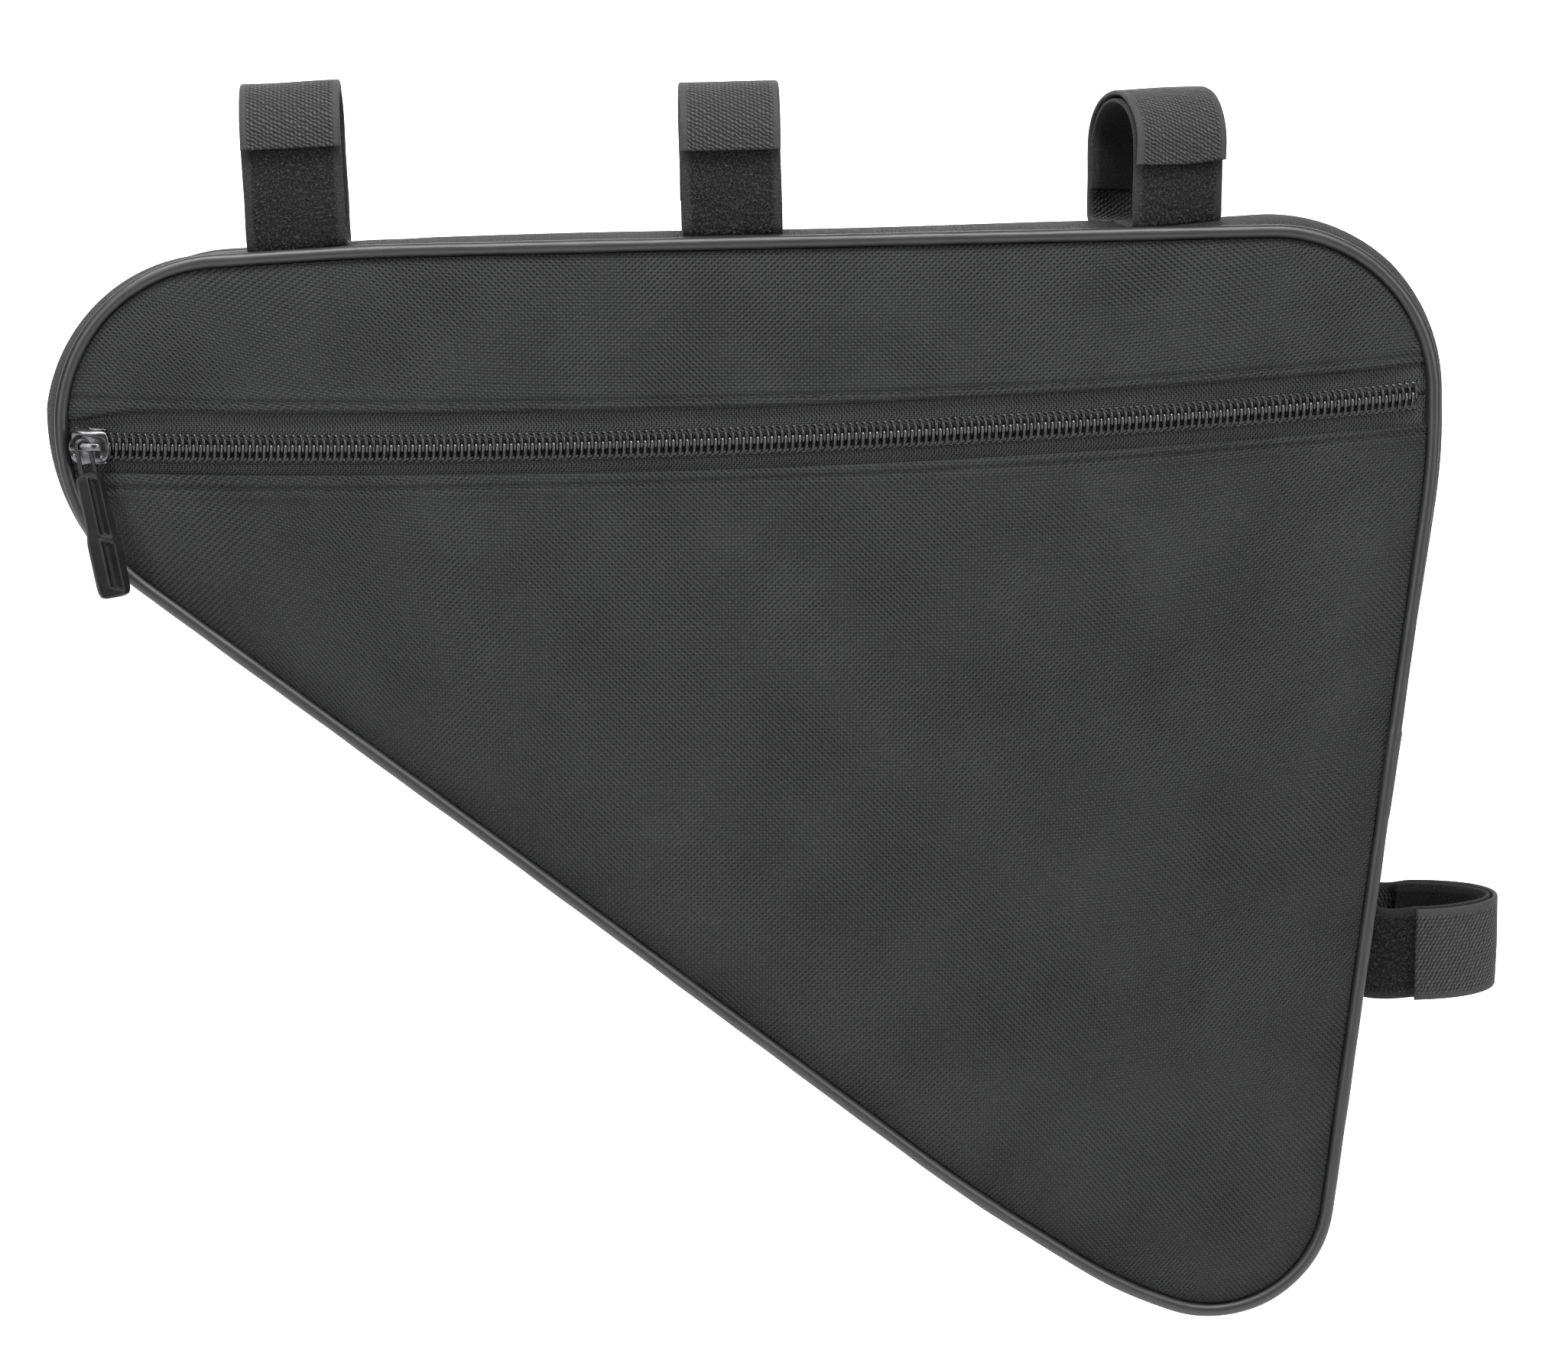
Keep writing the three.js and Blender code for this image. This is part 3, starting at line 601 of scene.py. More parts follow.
cloth_finish = oxford("oxford cloth", 0.001, (0.053, 0.054, 0.056), 0.26)
# The gusset takes the same oxford cloth with a darker light tone, as painted shade on the band that faces
# away from the lights.
gusset_shaded_finish = oxford("gusset cloth painted darker", 0.001, (0.034, 0.034, 0.035), 0.1)
print("cloth", cloth_finish.name, gusset_shaded_finish.name)

# %% [markdown]
# The piping is soft vinyl drawn over a cord. Its shine is what shows: broad highlights
# from the soft lights, broken a little where the cord under the vinyl is uneven.


# %% Vinyl piping
def vinyl(name):
    m = Finish(name, Roughness=0.4, Specular_IOR_Level=1.0)
    _, _, place = m.map("flat")
    waves = m.noise(m.stretched(place, (0.12, 0.6, 1)), 1.0, 2.0)
    fine = m.noise(place, 3.0, 3.0, 0.6)
    height = m.math("ADD", waves, m.math("MULTIPLY", fine, 0.12))
    colour = m.ramp(m.noise(place, 0.08, 2.0), (0.3, (0.007, 0.007, 0.008)), (0.7, (0.014, 0.014, 0.015)))
    rough = m.math("MULTIPLY_ADD", fine, 0.12, 0.4)
    return m.done(colour, rough, m.bump(height, 0.1))


piping_finish = vinyl("piping vinyl")

# %% [markdown]
# ## Front panels
#
# The real front is one sheet of cloth, cut along the zip and hemmed on both sides of it.
# It could be a flat plate with a bump map. It is a crowned sheet instead: it rises from
# the seam, swells a little, carries soft dents, and rolls over at the hem. Each half is a
# grid ruled from its fold line to its stretch of the seam.

# %% Zip line and hems
ZIP_BELOW_TUBE = 72.3
ZIP_LOW_AT = 0.195 * BAG_LENGTH - LEFT_OF_STRAP
ZIP_RISE = 12.8
RIGHT_SIDE = BAG_LENGTH - LEFT_OF_STRAP
LEFT_SIDE = -LEFT_OF_STRAP
# From the zip line to the fold edge, at the left and at the right side.
FOLD_ABOVE = (9.0, 7.5)
FOLD_BELOW = (6.6, 7.4)
# From the fold edge to the row of stitches, at the left and at the right side.
STITCH_ABOVE = (2.6, 2.3)
STITCH_BELOW = (3.6, 1.7)
HEM_ROUND = 0.9
# How far the upper fold dips at the left seam, and over what length.
FOLD_DIP = 3.2
DIP_LONG = 12
STITCH_GROOVE = 0.26
GROOVE_WIDE = 0.55
# How much shallower the groove is between two stitches.
PUCKER = 0.25
HEM_SWELL = 0.32
# Low ridge beyond the stitches, where the turned-in hem ends.
RIDGE = {"off": 1.7, "wide": 1.3, "high": 0.3}
PANEL_WALL = 0.8


def zip_z(x):
    return -ZIP_BELOW_TUBE + ZIP_RISE * ((x - ZIP_LOW_AT) / (RIGHT_SIDE - ZIP_LOW_AT)) ** 2


def from_left_to_right(pair, x):
    return lerp(pair[0], pair[1], (x - LEFT_SIDE) / BAG_LENGTH)


def dip(x, up):
    return (FOLD_DIP if up > 0 else 0) * hump(x - LEFT_SIDE, DIP_LONG)


def fold_z(x, up):
    away = from_left_to_right(FOLD_ABOVE if up > 0 else FOLD_BELOW, x) - dip(x, up)
    return zip_z(x) + up * away


def stitch_off(x, up):
    """From the fold's edge to the row of stitches, which doesn't dip with it."""
    return from_left_to_right(STITCH_ABOVE if up > 0 else STITCH_BELOW, x) + dip(x, up)


# Soft dents and swells of the front cloth: middle and size in millimetres, and how far
# the cloth stands out there.
DENTS = [
    {"x": -112, "z": -45, "wide": 26, "tall": 12, "out": 0.9},
    {"x": -66, "z": -52, "wide": 20, "tall": 13, "out": -0.5},
    {"x": 28, "z": -40, "wide": 60, "tall": 12, "out": 0.35},
    {"x": 120, "z": -44, "wide": 24, "tall": 16, "out": 0.6},
    {"x": -96, "z": -108, "wide": 34, "tall": 20, "out": -0.5},
    {"x": 10, "z": -128, "wide": 60, "tall": 34, "out": 0.7},
    {"x": 96, "z": -110, "wide": 40, "tall": 28, "out": -0.45},
    {"x": 120, "z": -190, "wide": 26, "tall": 44, "out": 0.55},
    {"x": 74, "z": -215, "wide": 24, "tall": 30, "out": -0.5},
    {"x": 132, "z": -256, "wide": 20, "tall": 18, "out": 0.3},
]


# Soft pulled folds: from and to in millimetres, width and how far the cloth stands out.
FOLD_DEPTH = 2.2
FOLDS = [
    {"from": (-150, -44), "to": (-134, -63), "wide": 5.5, "out": 0.75},
    {"from": (-160, -60), "to": (-122, -57), "wide": 3.2, "out": -0.4},
    {"from": (-150, -84), "to": (-116, -112), "wide": 5, "out": 0.45},
    {"from": (-138, -82), "to": (-92, -92), "wide": 4.5, "out": -0.3},
    {"from": (152, -28), "to": (118, -57), "wide": 6, "out": 0.6},
    {"from": (160, -42), "to": (138, -62), "wide": 4, "out": -0.45},
    {"from": (164, -100), "to": (128, -150), "wide": 9, "out": 0.4},
    {"from": (-62, -25), "to": (-30, -58), "wide": 8, "out": 0.35},
    {"from": (110, -272), "to": (140, -236), "wide": 6, "out": 0.35},
]


def dents(x, z):
    out = np.zeros_like(x)
    for row in FOLDS:
        start, way = np.array(row["from"]), np.array(row["to"]) - np.array(row["from"])
        along = ((x - start[0]) * way[0] + (z - start[1]) * way[1]) / (way @ way)
        near = np.clip(along, 0, 1)
        off = np.hypot(x - start[0] - near * way[0], z - start[1] - near * way[1])
        out += FOLD_DEPTH * row["out"] * hump(off, row["wide"]) * (1 - 0.5 * near)
    for row in DENTS:
        far = ((x - row["x"]) / row["wide"]) ** 2 + ((z - row["z"]) / row["tall"]) ** 2
        out += row["out"] * np.exp(-far)
    return out


def risen(distance):
    """How far the crown has risen: 0 at the rim, 1 well inside."""
    inside = np.maximum(0, distance - PANEL_INSET)
    return 1 - np.exp(-inside / CROWN_SPREAD)


def front_skin(x, z):
    """Depth of the front cloth's outer face, without its hems."""
    share = risen(to_seam(x, z))
    return -BAG_DEPTH / 2 - FRONT_CROWN * share - dents(x, z) * share**2


# %% Rule a panel from its fold to the seam
RIM_TUCK = 0.15
RIM_INSET = PANEL_INSET - RIM_TUCK
END_GAP = 0.7
# Rows of the grid near the fold: round the rolled edge, then close ones across the hem.
HEM_ROWS = np.concatenate(
    ([0.0], HEM_ROUND * (1 - np.cos(np.radians([0, 24, 44, 62, 78, 90]))), np.arange(1.3, 7.6, 0.42))
)
STITCH_PITCH = 3.1


def rim(s):
    x, z, nx, nz, _ = seam(s)
    return x - nx * RIM_INSET, z - nz * RIM_INSET


def crossings(up):
    """Where the panel's rim crosses the fold line: left first."""
    x, z = rim(SEAM_AT)
    above = z > fold_z(x, up)
    changes = np.flatnonzero(above[1:] != above[:-1])
    ends = {np.sign(x[i]): SEAM_AT[i] for i in changes}
    return ends[-1.0], ends[1.0]


def stretch_of(up):
    """The panel's stretch of the seam line, from its start to its end, clockwise."""
    left, right = crossings(up)
    start, end = (left, right) if up > 0 else (right, left)
    return start + END_GAP, start + np.mod(end - start, SEAM_LENGTH) - END_GAP


def front_depth(x, z, up):
    """Depth of the hemmed cloth: skin, rolled edge, stitched groove and puckers."""
    edge = up * (z - fold_z(x, up))
    stitch = stitch_off(x, up)
    roll = np.clip(HEM_ROUND - edge, 0, HEM_ROUND)
    y = front_skin(x, z) + HEM_ROUND - np.sqrt(np.maximum(0, HEM_ROUND**2 - roll**2))
    groove = STITCH_GROOVE * hump(edge - stitch, GROOVE_WIDE)
    y += groove * (1 - PUCKER * np.cos(2 * math.pi * x / STITCH_PITCH))
    y -= HEM_SWELL * hump(edge - stitch / 2, stitch * 0.35)
    uneven = 1 + 0.35 * np.sin(x / 5.1) * np.sin(x / 3.3)
    y -= RIDGE["high"] * uneven * hump(edge - stitch - RIDGE["off"], RIDGE["wide"])
    return y


# Where the weave is pulled: how far along the bag, over what width, and its two leans.
DRIFTS = [
    {"at": -150, "wide": 60, "lean": 0.16, "lift": 0.1},
    {"at": 165, "wide": 70, "lean": -0.1, "lift": -0.07},
]
DRIFT_LEVEL = -60


def thread_turn(x, z):
    """The cloth's threads drift by a few degrees, and are drawn towards the rim."""
    drawn_x, drawn_z = x, z
    for drift in DRIFTS:
        near = hump(x - drift["at"], drift["wide"])
        drawn_x = drawn_x + drift["lean"] * near * (z - DRIFT_LEVEL)
        drawn_z = drawn_z + drift["lift"] * near * x
    return drawn_x, drawn_z


def front_panel(up, across, along):
    first, last = stretch_of(up)
    hem = len(HEM_ROWS)

    def place(u, v):
        rim_x, rim_z = rim(lerp(first, last, u))
        start_x, end_x = rim(first)[0], rim(last)[0]
        by_x = np.clip((rim_x - start_x) / (end_x - start_x), 0, 1)
        fold_x = lerp(start_x, end_x, lerp(u, by_x, 0.55))
        fold = fold_z(fold_x, up)
        long = np.hypot(rim_x - fold_x, rim_z - fold)
        row = np.rint(v * along).astype(int)
        squeeze = np.minimum(1, long / 14)
        near = HEM_ROWS[np.minimum(row, hem - 1)] * squeeze
        share = np.clip((row - hem + 1) / (along - hem + 1), 0, 1)
        gone = near + (long - near) * (1 - (1 - share) ** 1.35)
        x = lerp(fold_x, rim_x, gone / long)
        z = lerp(fold, rim_z, gone / long)
        y = front_depth(x, z, up) + 0.5 * (row == 0)
        flat = np.column_stack(thread_turn(x, z))
        return np.column_stack((x, y, z)), {"flat": flat}

    return lay("front cloth", across, along, place, centre=(0, 0, -110))


upper = piece(
    "upper_cloth", front_panel(1, 380, 48), cloth_finish,
    replaces=["front_upper_panel"], wall=PANEL_WALL,
)
lower = piece(
    "lower_cloth", front_panel(-1, 380, 92), cloth_finish,
    replaces=["front_lower_panel"], wall=PANEL_WALL,
)

# %% [markdown]
# ## Back panel and gusset
#
# The back is one plain sheet. A grid ruled between the top line and the slanting bottom
# line gives it clean rows of faces. The gusset is a long band that runs round between
# the two seams and stands out a little between them.

# %% Back panel
BACK_SWELL = 0.5


def back_panel(across, along):
    start = seam_position(*in_box(0, 0.15))
    end = start + np.mod(seam_position(*in_box(0.9, 1)) - start, SEAM_LENGTH)

    def place(u, v):
        top_x, top_z = rim(lerp(start, end, u))
        low_x, low_z = rim(lerp(start + SEAM_LENGTH, end, u))
        x, z = lerp(low_x, top_x, v), lerp(low_z, top_z, v)
        share = risen(to_seam(x, z))
        slow = np.sin(x / 41 + 1) * np.sin(z / 33) + 0.5 * np.sin(x / 23 - z / 29)
        y = BAG_DEPTH / 2 + BACK_CROWN * share - BACK_SWELL * slow * share**2
        return np.column_stack((x, y, z)), {"flat": np.column_stack((x, z))}

    return lay("back cloth", across, along, place, centre=(0, 0, -110))


back = piece(
    "back_cloth", back_panel(280, 64), cloth_finish,
    replaces=["back_panel"], wall=PANEL_WALL,
)

# %% Gusset band
GUSSET_HALF = BAG_DEPTH / 2 - PIPING_RADIUS - GAP
GUSSET_WALL = 1.5
# Fine ripples beside the seams, and slow swells between them.
RIPPLE = {"high": 0.1, "round": 56, "at": 0.86, "wide": 0.16}
SWELL = {"high": 0.25, "round": 8}


def gusset_band(along, across):
    def place(u, v):
        s, depth = u * SEAM_LENGTH, 2 * v - 1
        x, z, nx, nz, bulge = seam(s)
        edge = 1 - depth**2
        turn = 2 * math.pi * u
        beside = hump(abs(depth) - RIPPLE["at"], RIPPLE["wide"])
        ripple = RIPPLE["high"] * np.sin(RIPPLE["round"] * turn + 1.5 * np.sin(9 * turn)) * beside
        slow = SWELL["high"] * np.sin(SWELL["round"] * turn + 2 * depth) * edge
        out = bulge * edge + ripple + slow * np.minimum(1, bulge / 3)
        y = depth * GUSSET_HALF
        points = np.column_stack((x + nx * out, y, z + nz * out))
        return points, {"flat": np.column_stack((s, y))}

    return lay("gusset band", along, across, place, centre=(20, 0, -110))


gusset = piece(
    "gusset_band", gusset_band(800, 16), gusset_shaded_finish,
    replaces=["gusset"], wall=GUSSET_WALL,
)

# %% [markdown]
# ## Piping
#
# Piping is a cord wrapped in a strip whose flat fin is caught in the seam. A plain tube
# would do from afar. Here the section has the fin too, so the seam is closed behind the
# round part, and the strip's two ends overlap at the right side as they do on the bag.

# %% Piping with its fin
PIPING_SIDES = 18
FIN = [(-4.4, -1.15), (-4.4, -1.55), (-0.7, -1.5)]
JOINT_AT = seam_position(*in_box(0.975, 0.445))
JOINT_LENGTH = 22
JOINT_THICK = 0.16


def piping_section():
    """Outward and forward places of the section: the round part, then the fin."""
    angles = np.radians(np.linspace(-115, 205, PIPING_SIDES))
    tube = np.column_stack((np.cos(angles), np.sin(angles))) * PIPING_RADIUS
    return np.vstack((tube, FIN))


def piping(side, along):
    section = piping_section()
    sides = len(section)

    def place(u, v):
        k = np.rint(v * sides).astype(int) % sides
        s = u * SEAM_LENGTH
        x, z, nx, nz, _ = seam(s)
        past = np.mod(s - JOINT_AT, SEAM_LENGTH)
        overlap = JOINT_THICK * (past < JOINT_LENGTH) * (1 - 0.6 * past / JOINT_LENGTH)
        slow = 0.035 * np.sin(44 * math.pi * u) + 0.03 * np.sin(104 * math.pi * u + 1)
        grow = 1 + (overlap * (side < 0) + slow * 0.6) * (k < PIPING_SIDES)
        out, deep = section[k, 0] * grow, section[k, 1] * grow
        y = side * (BAG_DEPTH / 2 + deep)
        points = np.column_stack((x + nx * out, y, z + nz * out))
        round_it = v * 2 * math.pi * PIPING_RADIUS
        return points, {"flat": np.column_stack((s, round_it))}

    return lay("piping", along, sides, place)


for end_name, side, along in (("front", -1, 1100), ("back", 1, 700)):
    piece(
        end_name + "_piping_vinyl", piping(side, along), piping_finish,
        replaces=[end_name + "_piping"],
    )

# %% [markdown]
# ## Zip
#
# A coil zip is two long spirals of stiff nylon, one sewn to each tape, whose loops catch
# between each other. A row of boxes would read as teeth from far away. The spirals are
# modelled turn by turn instead, because their round loops give the zip its bright beads.

# %% Tapes and the gap between the rows
COIL_WIDTH = 3.3
COIL_HEIGHT = 2
COIL_PROUD = 0.5
ROW_GAP = 0.3
TAPE_BEHIND = 1.8
TAPE_WIDTH = 15
TAPE_THICKNESS = 1
SLIDER_LENGTH = 10.6
SLIDER_WIDTH = 9.4
SLIDER_FROM_SEAM = 7.2
POST_WIDTH = 2.2
TAPE_INSET = PANEL_INSET + GAP
TAPE_TUCK = 0.6


def seam_sides(z):
    """Where the seam line crosses these levels, left and right."""
    x, level = SEAM_PLACE[:, 0], SEAM_PLACE[:, 1]
    top, tip = level.argmax(), level.argmin()
    right = slice(top, tip + 1)
    left_x = np.concatenate((x[tip:], x[:top]))
    left_z = np.concatenate((level[tip:], level[:top]))
    return np.interp(z, left_z, left_x), np.interp(z, level[right][::-1], x[right][::-1])


ZIP_LEFT, ZIP_RIGHT = (float(x) for x in seam_sides(-ZIP_BELOW_TUBE))
SLIDER_X = ZIP_LEFT + SLIDER_FROM_SEAM
ROWS_OPEN = SLIDER_X + SLIDER_LENGTH * 0.04
ROWS_CLOSED = SLIDER_X + SLIDER_LENGTH * 0.32


def row_edge(x):
    """Half the gap between the rows, which opens round the slider's post."""
    return lerp(ROW_GAP / 2, POST_WIDTH / 2 + GAP, smooth(ROWS_CLOSED - x, 0, ROWS_CLOSED - ROWS_OPEN))


def woven_tape(name, dark, light):
    m = Finish(name, Roughness=0.75, Specular_IOR_Level=0.2)
    x, y, place = m.map("flat")
    slope = m.math("MULTIPLY", m.math("PINGPONG", y, 2.4), 0.8)
    ribs = m.math("SINE", m.math("MULTIPLY", m.math("ADD", x, slope), 6.0))
    fine = plain_weave(m, x, y, 0.62, 0.5)
    grain = m.noise(place, 2.2, 3.0, 0.7)
    height = m.math("ADD", m.math("MULTIPLY_ADD", ribs, 0.3, fine), m.math("MULTIPLY", grain, 0.7))
    # The colour follows the bump's height, so the low places of the ribs and the weave are painted darker
    # as painted shade, with random grain on top.
    colour = m.ramp(m.math("MULTIPLY", height, 0.6), (0.15, dark), (0.85, light))
    return m.done(colour, None, m.bump(height, 0.24))


# The tape's light tone stands well above the cloth's: painted light, against the shade that the hems cast
# on the tape.
tape_finish = woven_tape("zip tape", 0.005, (0.1, 0.101, 0.103))


def zip_tape(up, along, across):
    def place(u, v):
        x = lerp(ZIP_LEFT + TAPE_TUCK, ZIP_RIGHT - TAPE_TUCK, u)
        z = zip_z(x) + up * lerp(row_edge(x), TAPE_WIDTH, v)
        left, right = seam_sides(z)
        x = np.clip(x, left + TAPE_TUCK, right - TAPE_TUCK)
        wave = 0.12 * np.sin(x / 6.1 + up) * np.sin(math.pi * np.clip(v, 0, 1))
        from_seam = np.minimum(x - left, right - x)
        y = front_skin(x, z) + lerp(PANEL_WALL + 0.1, TAPE_BEHIND, smooth(from_seam, 1.5, 14)) + wave
        return np.column_stack((x, y, z)), {"flat": np.column_stack((x, z - zip_z(x)))}

    return lay("zip tape", along, across, place, centre=(0, 0, -110))


for row_name, up in (("upper", 1), ("lower", -1)):
    piece(
        row_name + "_tape_weave", zip_tape(up, 420, 14), tape_finish,
        replaces=["zip_tape_" + row_name], wall=TAPE_THICKNESS,
    )

# %% Coils, turn by turn
TOOTH_PITCH = 1.74
WIRE_RADIUS = 0.39
HEAD_REACH = -0.75
COIL_FOOT = 3.28
STEPS_A_TURN = 14
WIRE_SIDES = 7
COIL_START = ZIP_LEFT + TAPE_INSET + 0.6
COIL_END = ZIP_RIGHT - TAPE_INSET - 0.4
COIL_TURNS = int((COIL_END - COIL_START) / TOOTH_PITCH)
# From the zip line to where a row takes the cloth's depth.
ROW_MIDDLE = 1.6


def nylon(name):
    m = Finish(name, Roughness=0.22, Specular_IOR_Level=1.0)
    place = m.node("TexCoord").outputs["Object"]
    cloudy = m.noise(place, 900.0, 2.0)
    scratches = m.noise(m.stretched(place, (400, 400, 2600)), 1.0, 2.0)
    colour = m.ramp(cloudy, (0.3, (0.012, 0.012, 0.013)), (0.7, (0.04, 0.04, 0.042)))
    rough = m.math("MULTIPLY_ADD", scratches, 0.16, 0.14)
    return m.done(colour, rough, m.bump(scratches, 0.02))


coil_finish = nylon("coil nylon")


def coil_row(up):
    """One spiral: its turns run from the sewn foot to the head beyond the middle. The two
    legs of a turn lie one behind the other, and the wire moves on at its foot."""
    line_x = COIL_START + np.linspace(0, COIL_TURNS * TOOTH_PITCH, 600)
    skin = front_skin(line_x, zip_z(line_x) + up * ROW_MIDDLE)

    def place(u, v):
        turn = u * COIL_TURNS * 2 * math.pi
        stacked = 1.5 * np.sin(turn) + 0.3 * np.sin(2 * turn) + np.sin(3 * turn) / 30
        x = COIL_START + TOOTH_PITCH * ((turn + stacked) / (2 * math.pi) + 0.25 * up)
        swing = np.cos(turn)
        across = lerp(HEAD_REACH, COIL_FOOT, (1 + swing) / 2)
        across = across + (row_edge(x) - ROW_GAP / 2)
        middle = np.interp(x, line_x, skin) - COIL_PROUD + COIL_HEIGHT / 2
        thick = WIRE_RADIUS * (1 + 0.16 * hump(swing + 1, 0.5))
        tall = COIL_HEIGHT / 2 - WIRE_RADIUS * 1.1
        y = middle - tall * np.sin(turn)
        z = zip_z(x) + up * across
        round_it = v * 2 * math.pi
        way_x = TOOTH_PITCH / (20 * math.pi) * (1 + np.cos(turn)) ** 3 * 4
        way_z = -np.sin(turn) * (COIL_FOOT - HEAD_REACH) / 2 * up
        way_y = -tall * np.cos(turn)
        way = np.column_stack((way_x, way_y, way_z))
        way /= np.linalg.norm(way, axis=1)[:, None]
        side = np.cross(way, (1.0, 0, 0))
        side /= np.linalg.norm(side, axis=1)[:, None]
        other = np.cross(way, side)
        ring = np.cos(round_it)[:, None] * side + np.sin(round_it)[:, None] * other
        points = np.column_stack((x, y, z)) + ring * thick[:, None]
        return points, {}

    return lay("coil", COIL_TURNS * STEPS_A_TURN, WIRE_SIDES, place, capped=True)


for row_name, up in (("upper", 1), ("lower", -1)):
    coil = coil_row(up)
    piece(row_name + "_coil_turns", coil, coil_finish, replaces=["zip_coil_" + row_name])
print("turns a side", COIL_TURNS)

# %% [markdown]
# The zip's tapes are sewn along the coils with thread, and the panels' hems are held by a
# row of stitches. One short stretch of thread, a squeezed sphere with its ends bent down,
# is made once and repeated along each line, which costs little and catches real light.

# %% Stitches along a line
THREAD_RADIUS = 0.15


def one_stitch(long, radius, sag):
    """A stitch along x, in millimetres, whose ends dip into the cloth."""
    bm = bmesh.new()
    bmesh.ops.create_uvsphere(bm, u_segments=8, v_segments=6, radius=1)
    bmesh.ops.rotate(bm, verts=bm.verts, matrix=Matrix.Rotation(math.pi / 2, 3, "Y"))
    bmesh.ops.scale(bm, verts=bm.verts, vec=(long / 2, radius, radius))
    for vert in bm.verts:
        vert.co.z -= sag * (2 * vert.co.x / long) ** 2
    mesh = bpy.data.meshes.new("one stitch")
    bm.to_mesh(mesh)
    bm.free()
    return mesh


def resampled(line, pitch):
    """Middles of equal steps along a line, and their directions."""
    step = np.linalg.norm(np.diff(line, axis=0), axis=1)
    gone = np.concatenate(([0], np.cumsum(step)))
    count = max(1, round(gone[-1] / pitch))
    ends = np.linspace(0, gone[-1], count + 1)
    at = np.column_stack([np.interp(ends, gone, line[:, k]) for k in range(3)])
    return (at[1:] + at[:-1]) / 2, at[1:] - at[:-1]


def stitch_places(line, pitch, out):
    middles, ways = resampled(line, pitch)
    return [facing(at, way, out) for at, way in zip(middles, ways)]


def sewing_thread(name, dark, light):
    m = Finish(name, Roughness=0.6, Specular_IOR_Level=0.4, Sheen_Weight=0.2)
    place = m.node("TexCoord").outputs["Object"]
    twist = m.noise(m.stretched(place, (900, 2600, 2600)), 1.0, 2.0)
    colour = m.ramp(twist, (0.3, dark), (0.7, light))
    return m.done(colour, None, m.bump(twist, 0.05))


# The thread is set darker than the cloth, so the stitches also carry the shade of their grooves as
# painted shade.
thread_finish = sewing_thread("thread", 0.006, (0.022, 0.022, 0.023))


def hem_line(up):
    x = np.linspace(LEFT_SIDE + 6, RIGHT_SIDE - 4, 700)
    z = fold_z(x, up) + up * stitch_off(x, up)
    left, right = seam_sides(z)
    kept = (x > left + 4) & (x < right - 4)
    y = front_depth(x, z, up) - THREAD_RADIUS * 0.5
    return np.column_stack((x, y, z))[kept]


hem_places = [p for up in (1, -1) for p in stitch_places(hem_line(up), STITCH_PITCH, (0, -1, 0))]
hem_stitch = one_stitch(STITCH_PITCH * 0.84, THREAD_RADIUS, 0.22)
hem_mesh = repeated("hem stitches", hem_stitch, np.array(hem_places))
hem = piece("hem_stitches", hem_mesh, thread_finish)

# %% Thread over the coils
COIL_STITCH = {"across": 2.75, "long": 1.9, "slant": -0.5, "over": 0.95, "radius": 0.24}


def coil_stitch_places(up):
    x = COIL_START + TOOTH_PITCH * (np.arange(COIL_TURNS) + 0.5 + 0.25 * up)
    across = COIL_STITCH["across"] + row_edge(x) - ROW_GAP / 2
    z = zip_z(x) + up * across
    y = front_skin(x, zip_z(x) + up * ROW_MIDDLE) - COIL_PROUD + COIL_HEIGHT / 2 - COIL_STITCH["over"]
    way = (1, 0, up * COIL_STITCH["slant"])
    return [facing(at, way, (0, -1, 0)) for at in zip(x, y, z)]


coil_places = np.array(coil_stitch_places(1) + coil_stitch_places(-1))
coil_stitch = one_stitch(COIL_STITCH["long"], COIL_STITCH["radius"], 0.55)
piece("coil_stitches", repeated("coil stitches", coil_stitch, coil_places), thread_finish)

# %% [markdown]
# ## Slider and pull
#
# The slider is a small zinc casting: two plates joined by a post, with flanges that hug
# the coils and a crown that the pull's wire turns round. Each part is one oval section
# swept along a short path, which gives the soft edges that casting and plating leave.


# %% Sweep an oval along a path
def fuller(value, power):
    return np.sign(value) * np.abs(value) ** power


def swept(name, path, wide, tall, side, along=40, sides=20, power=1.0, relief=None, chamfer=2):
    """An oval section along path(t), with half sizes wide(t), along side, and tall(t).
    A chamfer below 2 cuts the corners, and relief lifts the two faces."""
    side = np.array(side, float)

    def place(u, v):
        at = path(u)
        way = path(np.minimum(u + 1e-3, 1)) - path(np.maximum(u - 1e-3, 0))
        way /= np.linalg.norm(way, axis=1)[:, None]
        across = side - (way @ side)[:, None] * way
        across /= np.linalg.norm(across, axis=1)[:, None]
        up = np.cross(way, across)
        turn = 2 * math.pi * v
        first, second = fuller(np.cos(turn), power), fuller(np.sin(turn), power)
        cut = np.maximum(1, (np.abs(first) + np.abs(second)) / chamfer)
        first, second = wide(u) * first / cut, tall(u) * second / cut
        rise = np.zeros_like(first)
        if relief is not None:
            rise = relief(first, second, u)
            second = second + np.sign(second) * rise
        points = at + across * first[:, None] + up * second[:, None]
        return points, {"flat": np.column_stack((turn, u)), "rise": np.column_stack((rise, rise))}

    return lay(name, along, sides, place, capped=True)


def straight(start, end):
    start, end = np.array(start, float), np.array(end, float)
    return lambda t: start + (end - start) * t[:, None]


def closing(t, power):
    """1 along the middle, falling to nothing at both ends."""
    return np.maximum(0.02, (1 - np.abs(2 * t - 1) ** power) ** 0.5)


def joined(name, meshes, matrix):
    """Meshes in millimetre shapes put together and moved to their place."""
    bm = bmesh.new()
    for mesh in meshes:
        bm.from_mesh(mesh)
    bmesh.ops.transform(bm, matrix=matrix, verts=bm.verts)
    whole = bpy.data.meshes.new(name)
    bm.to_mesh(whole)
    bm.free()
    return whole


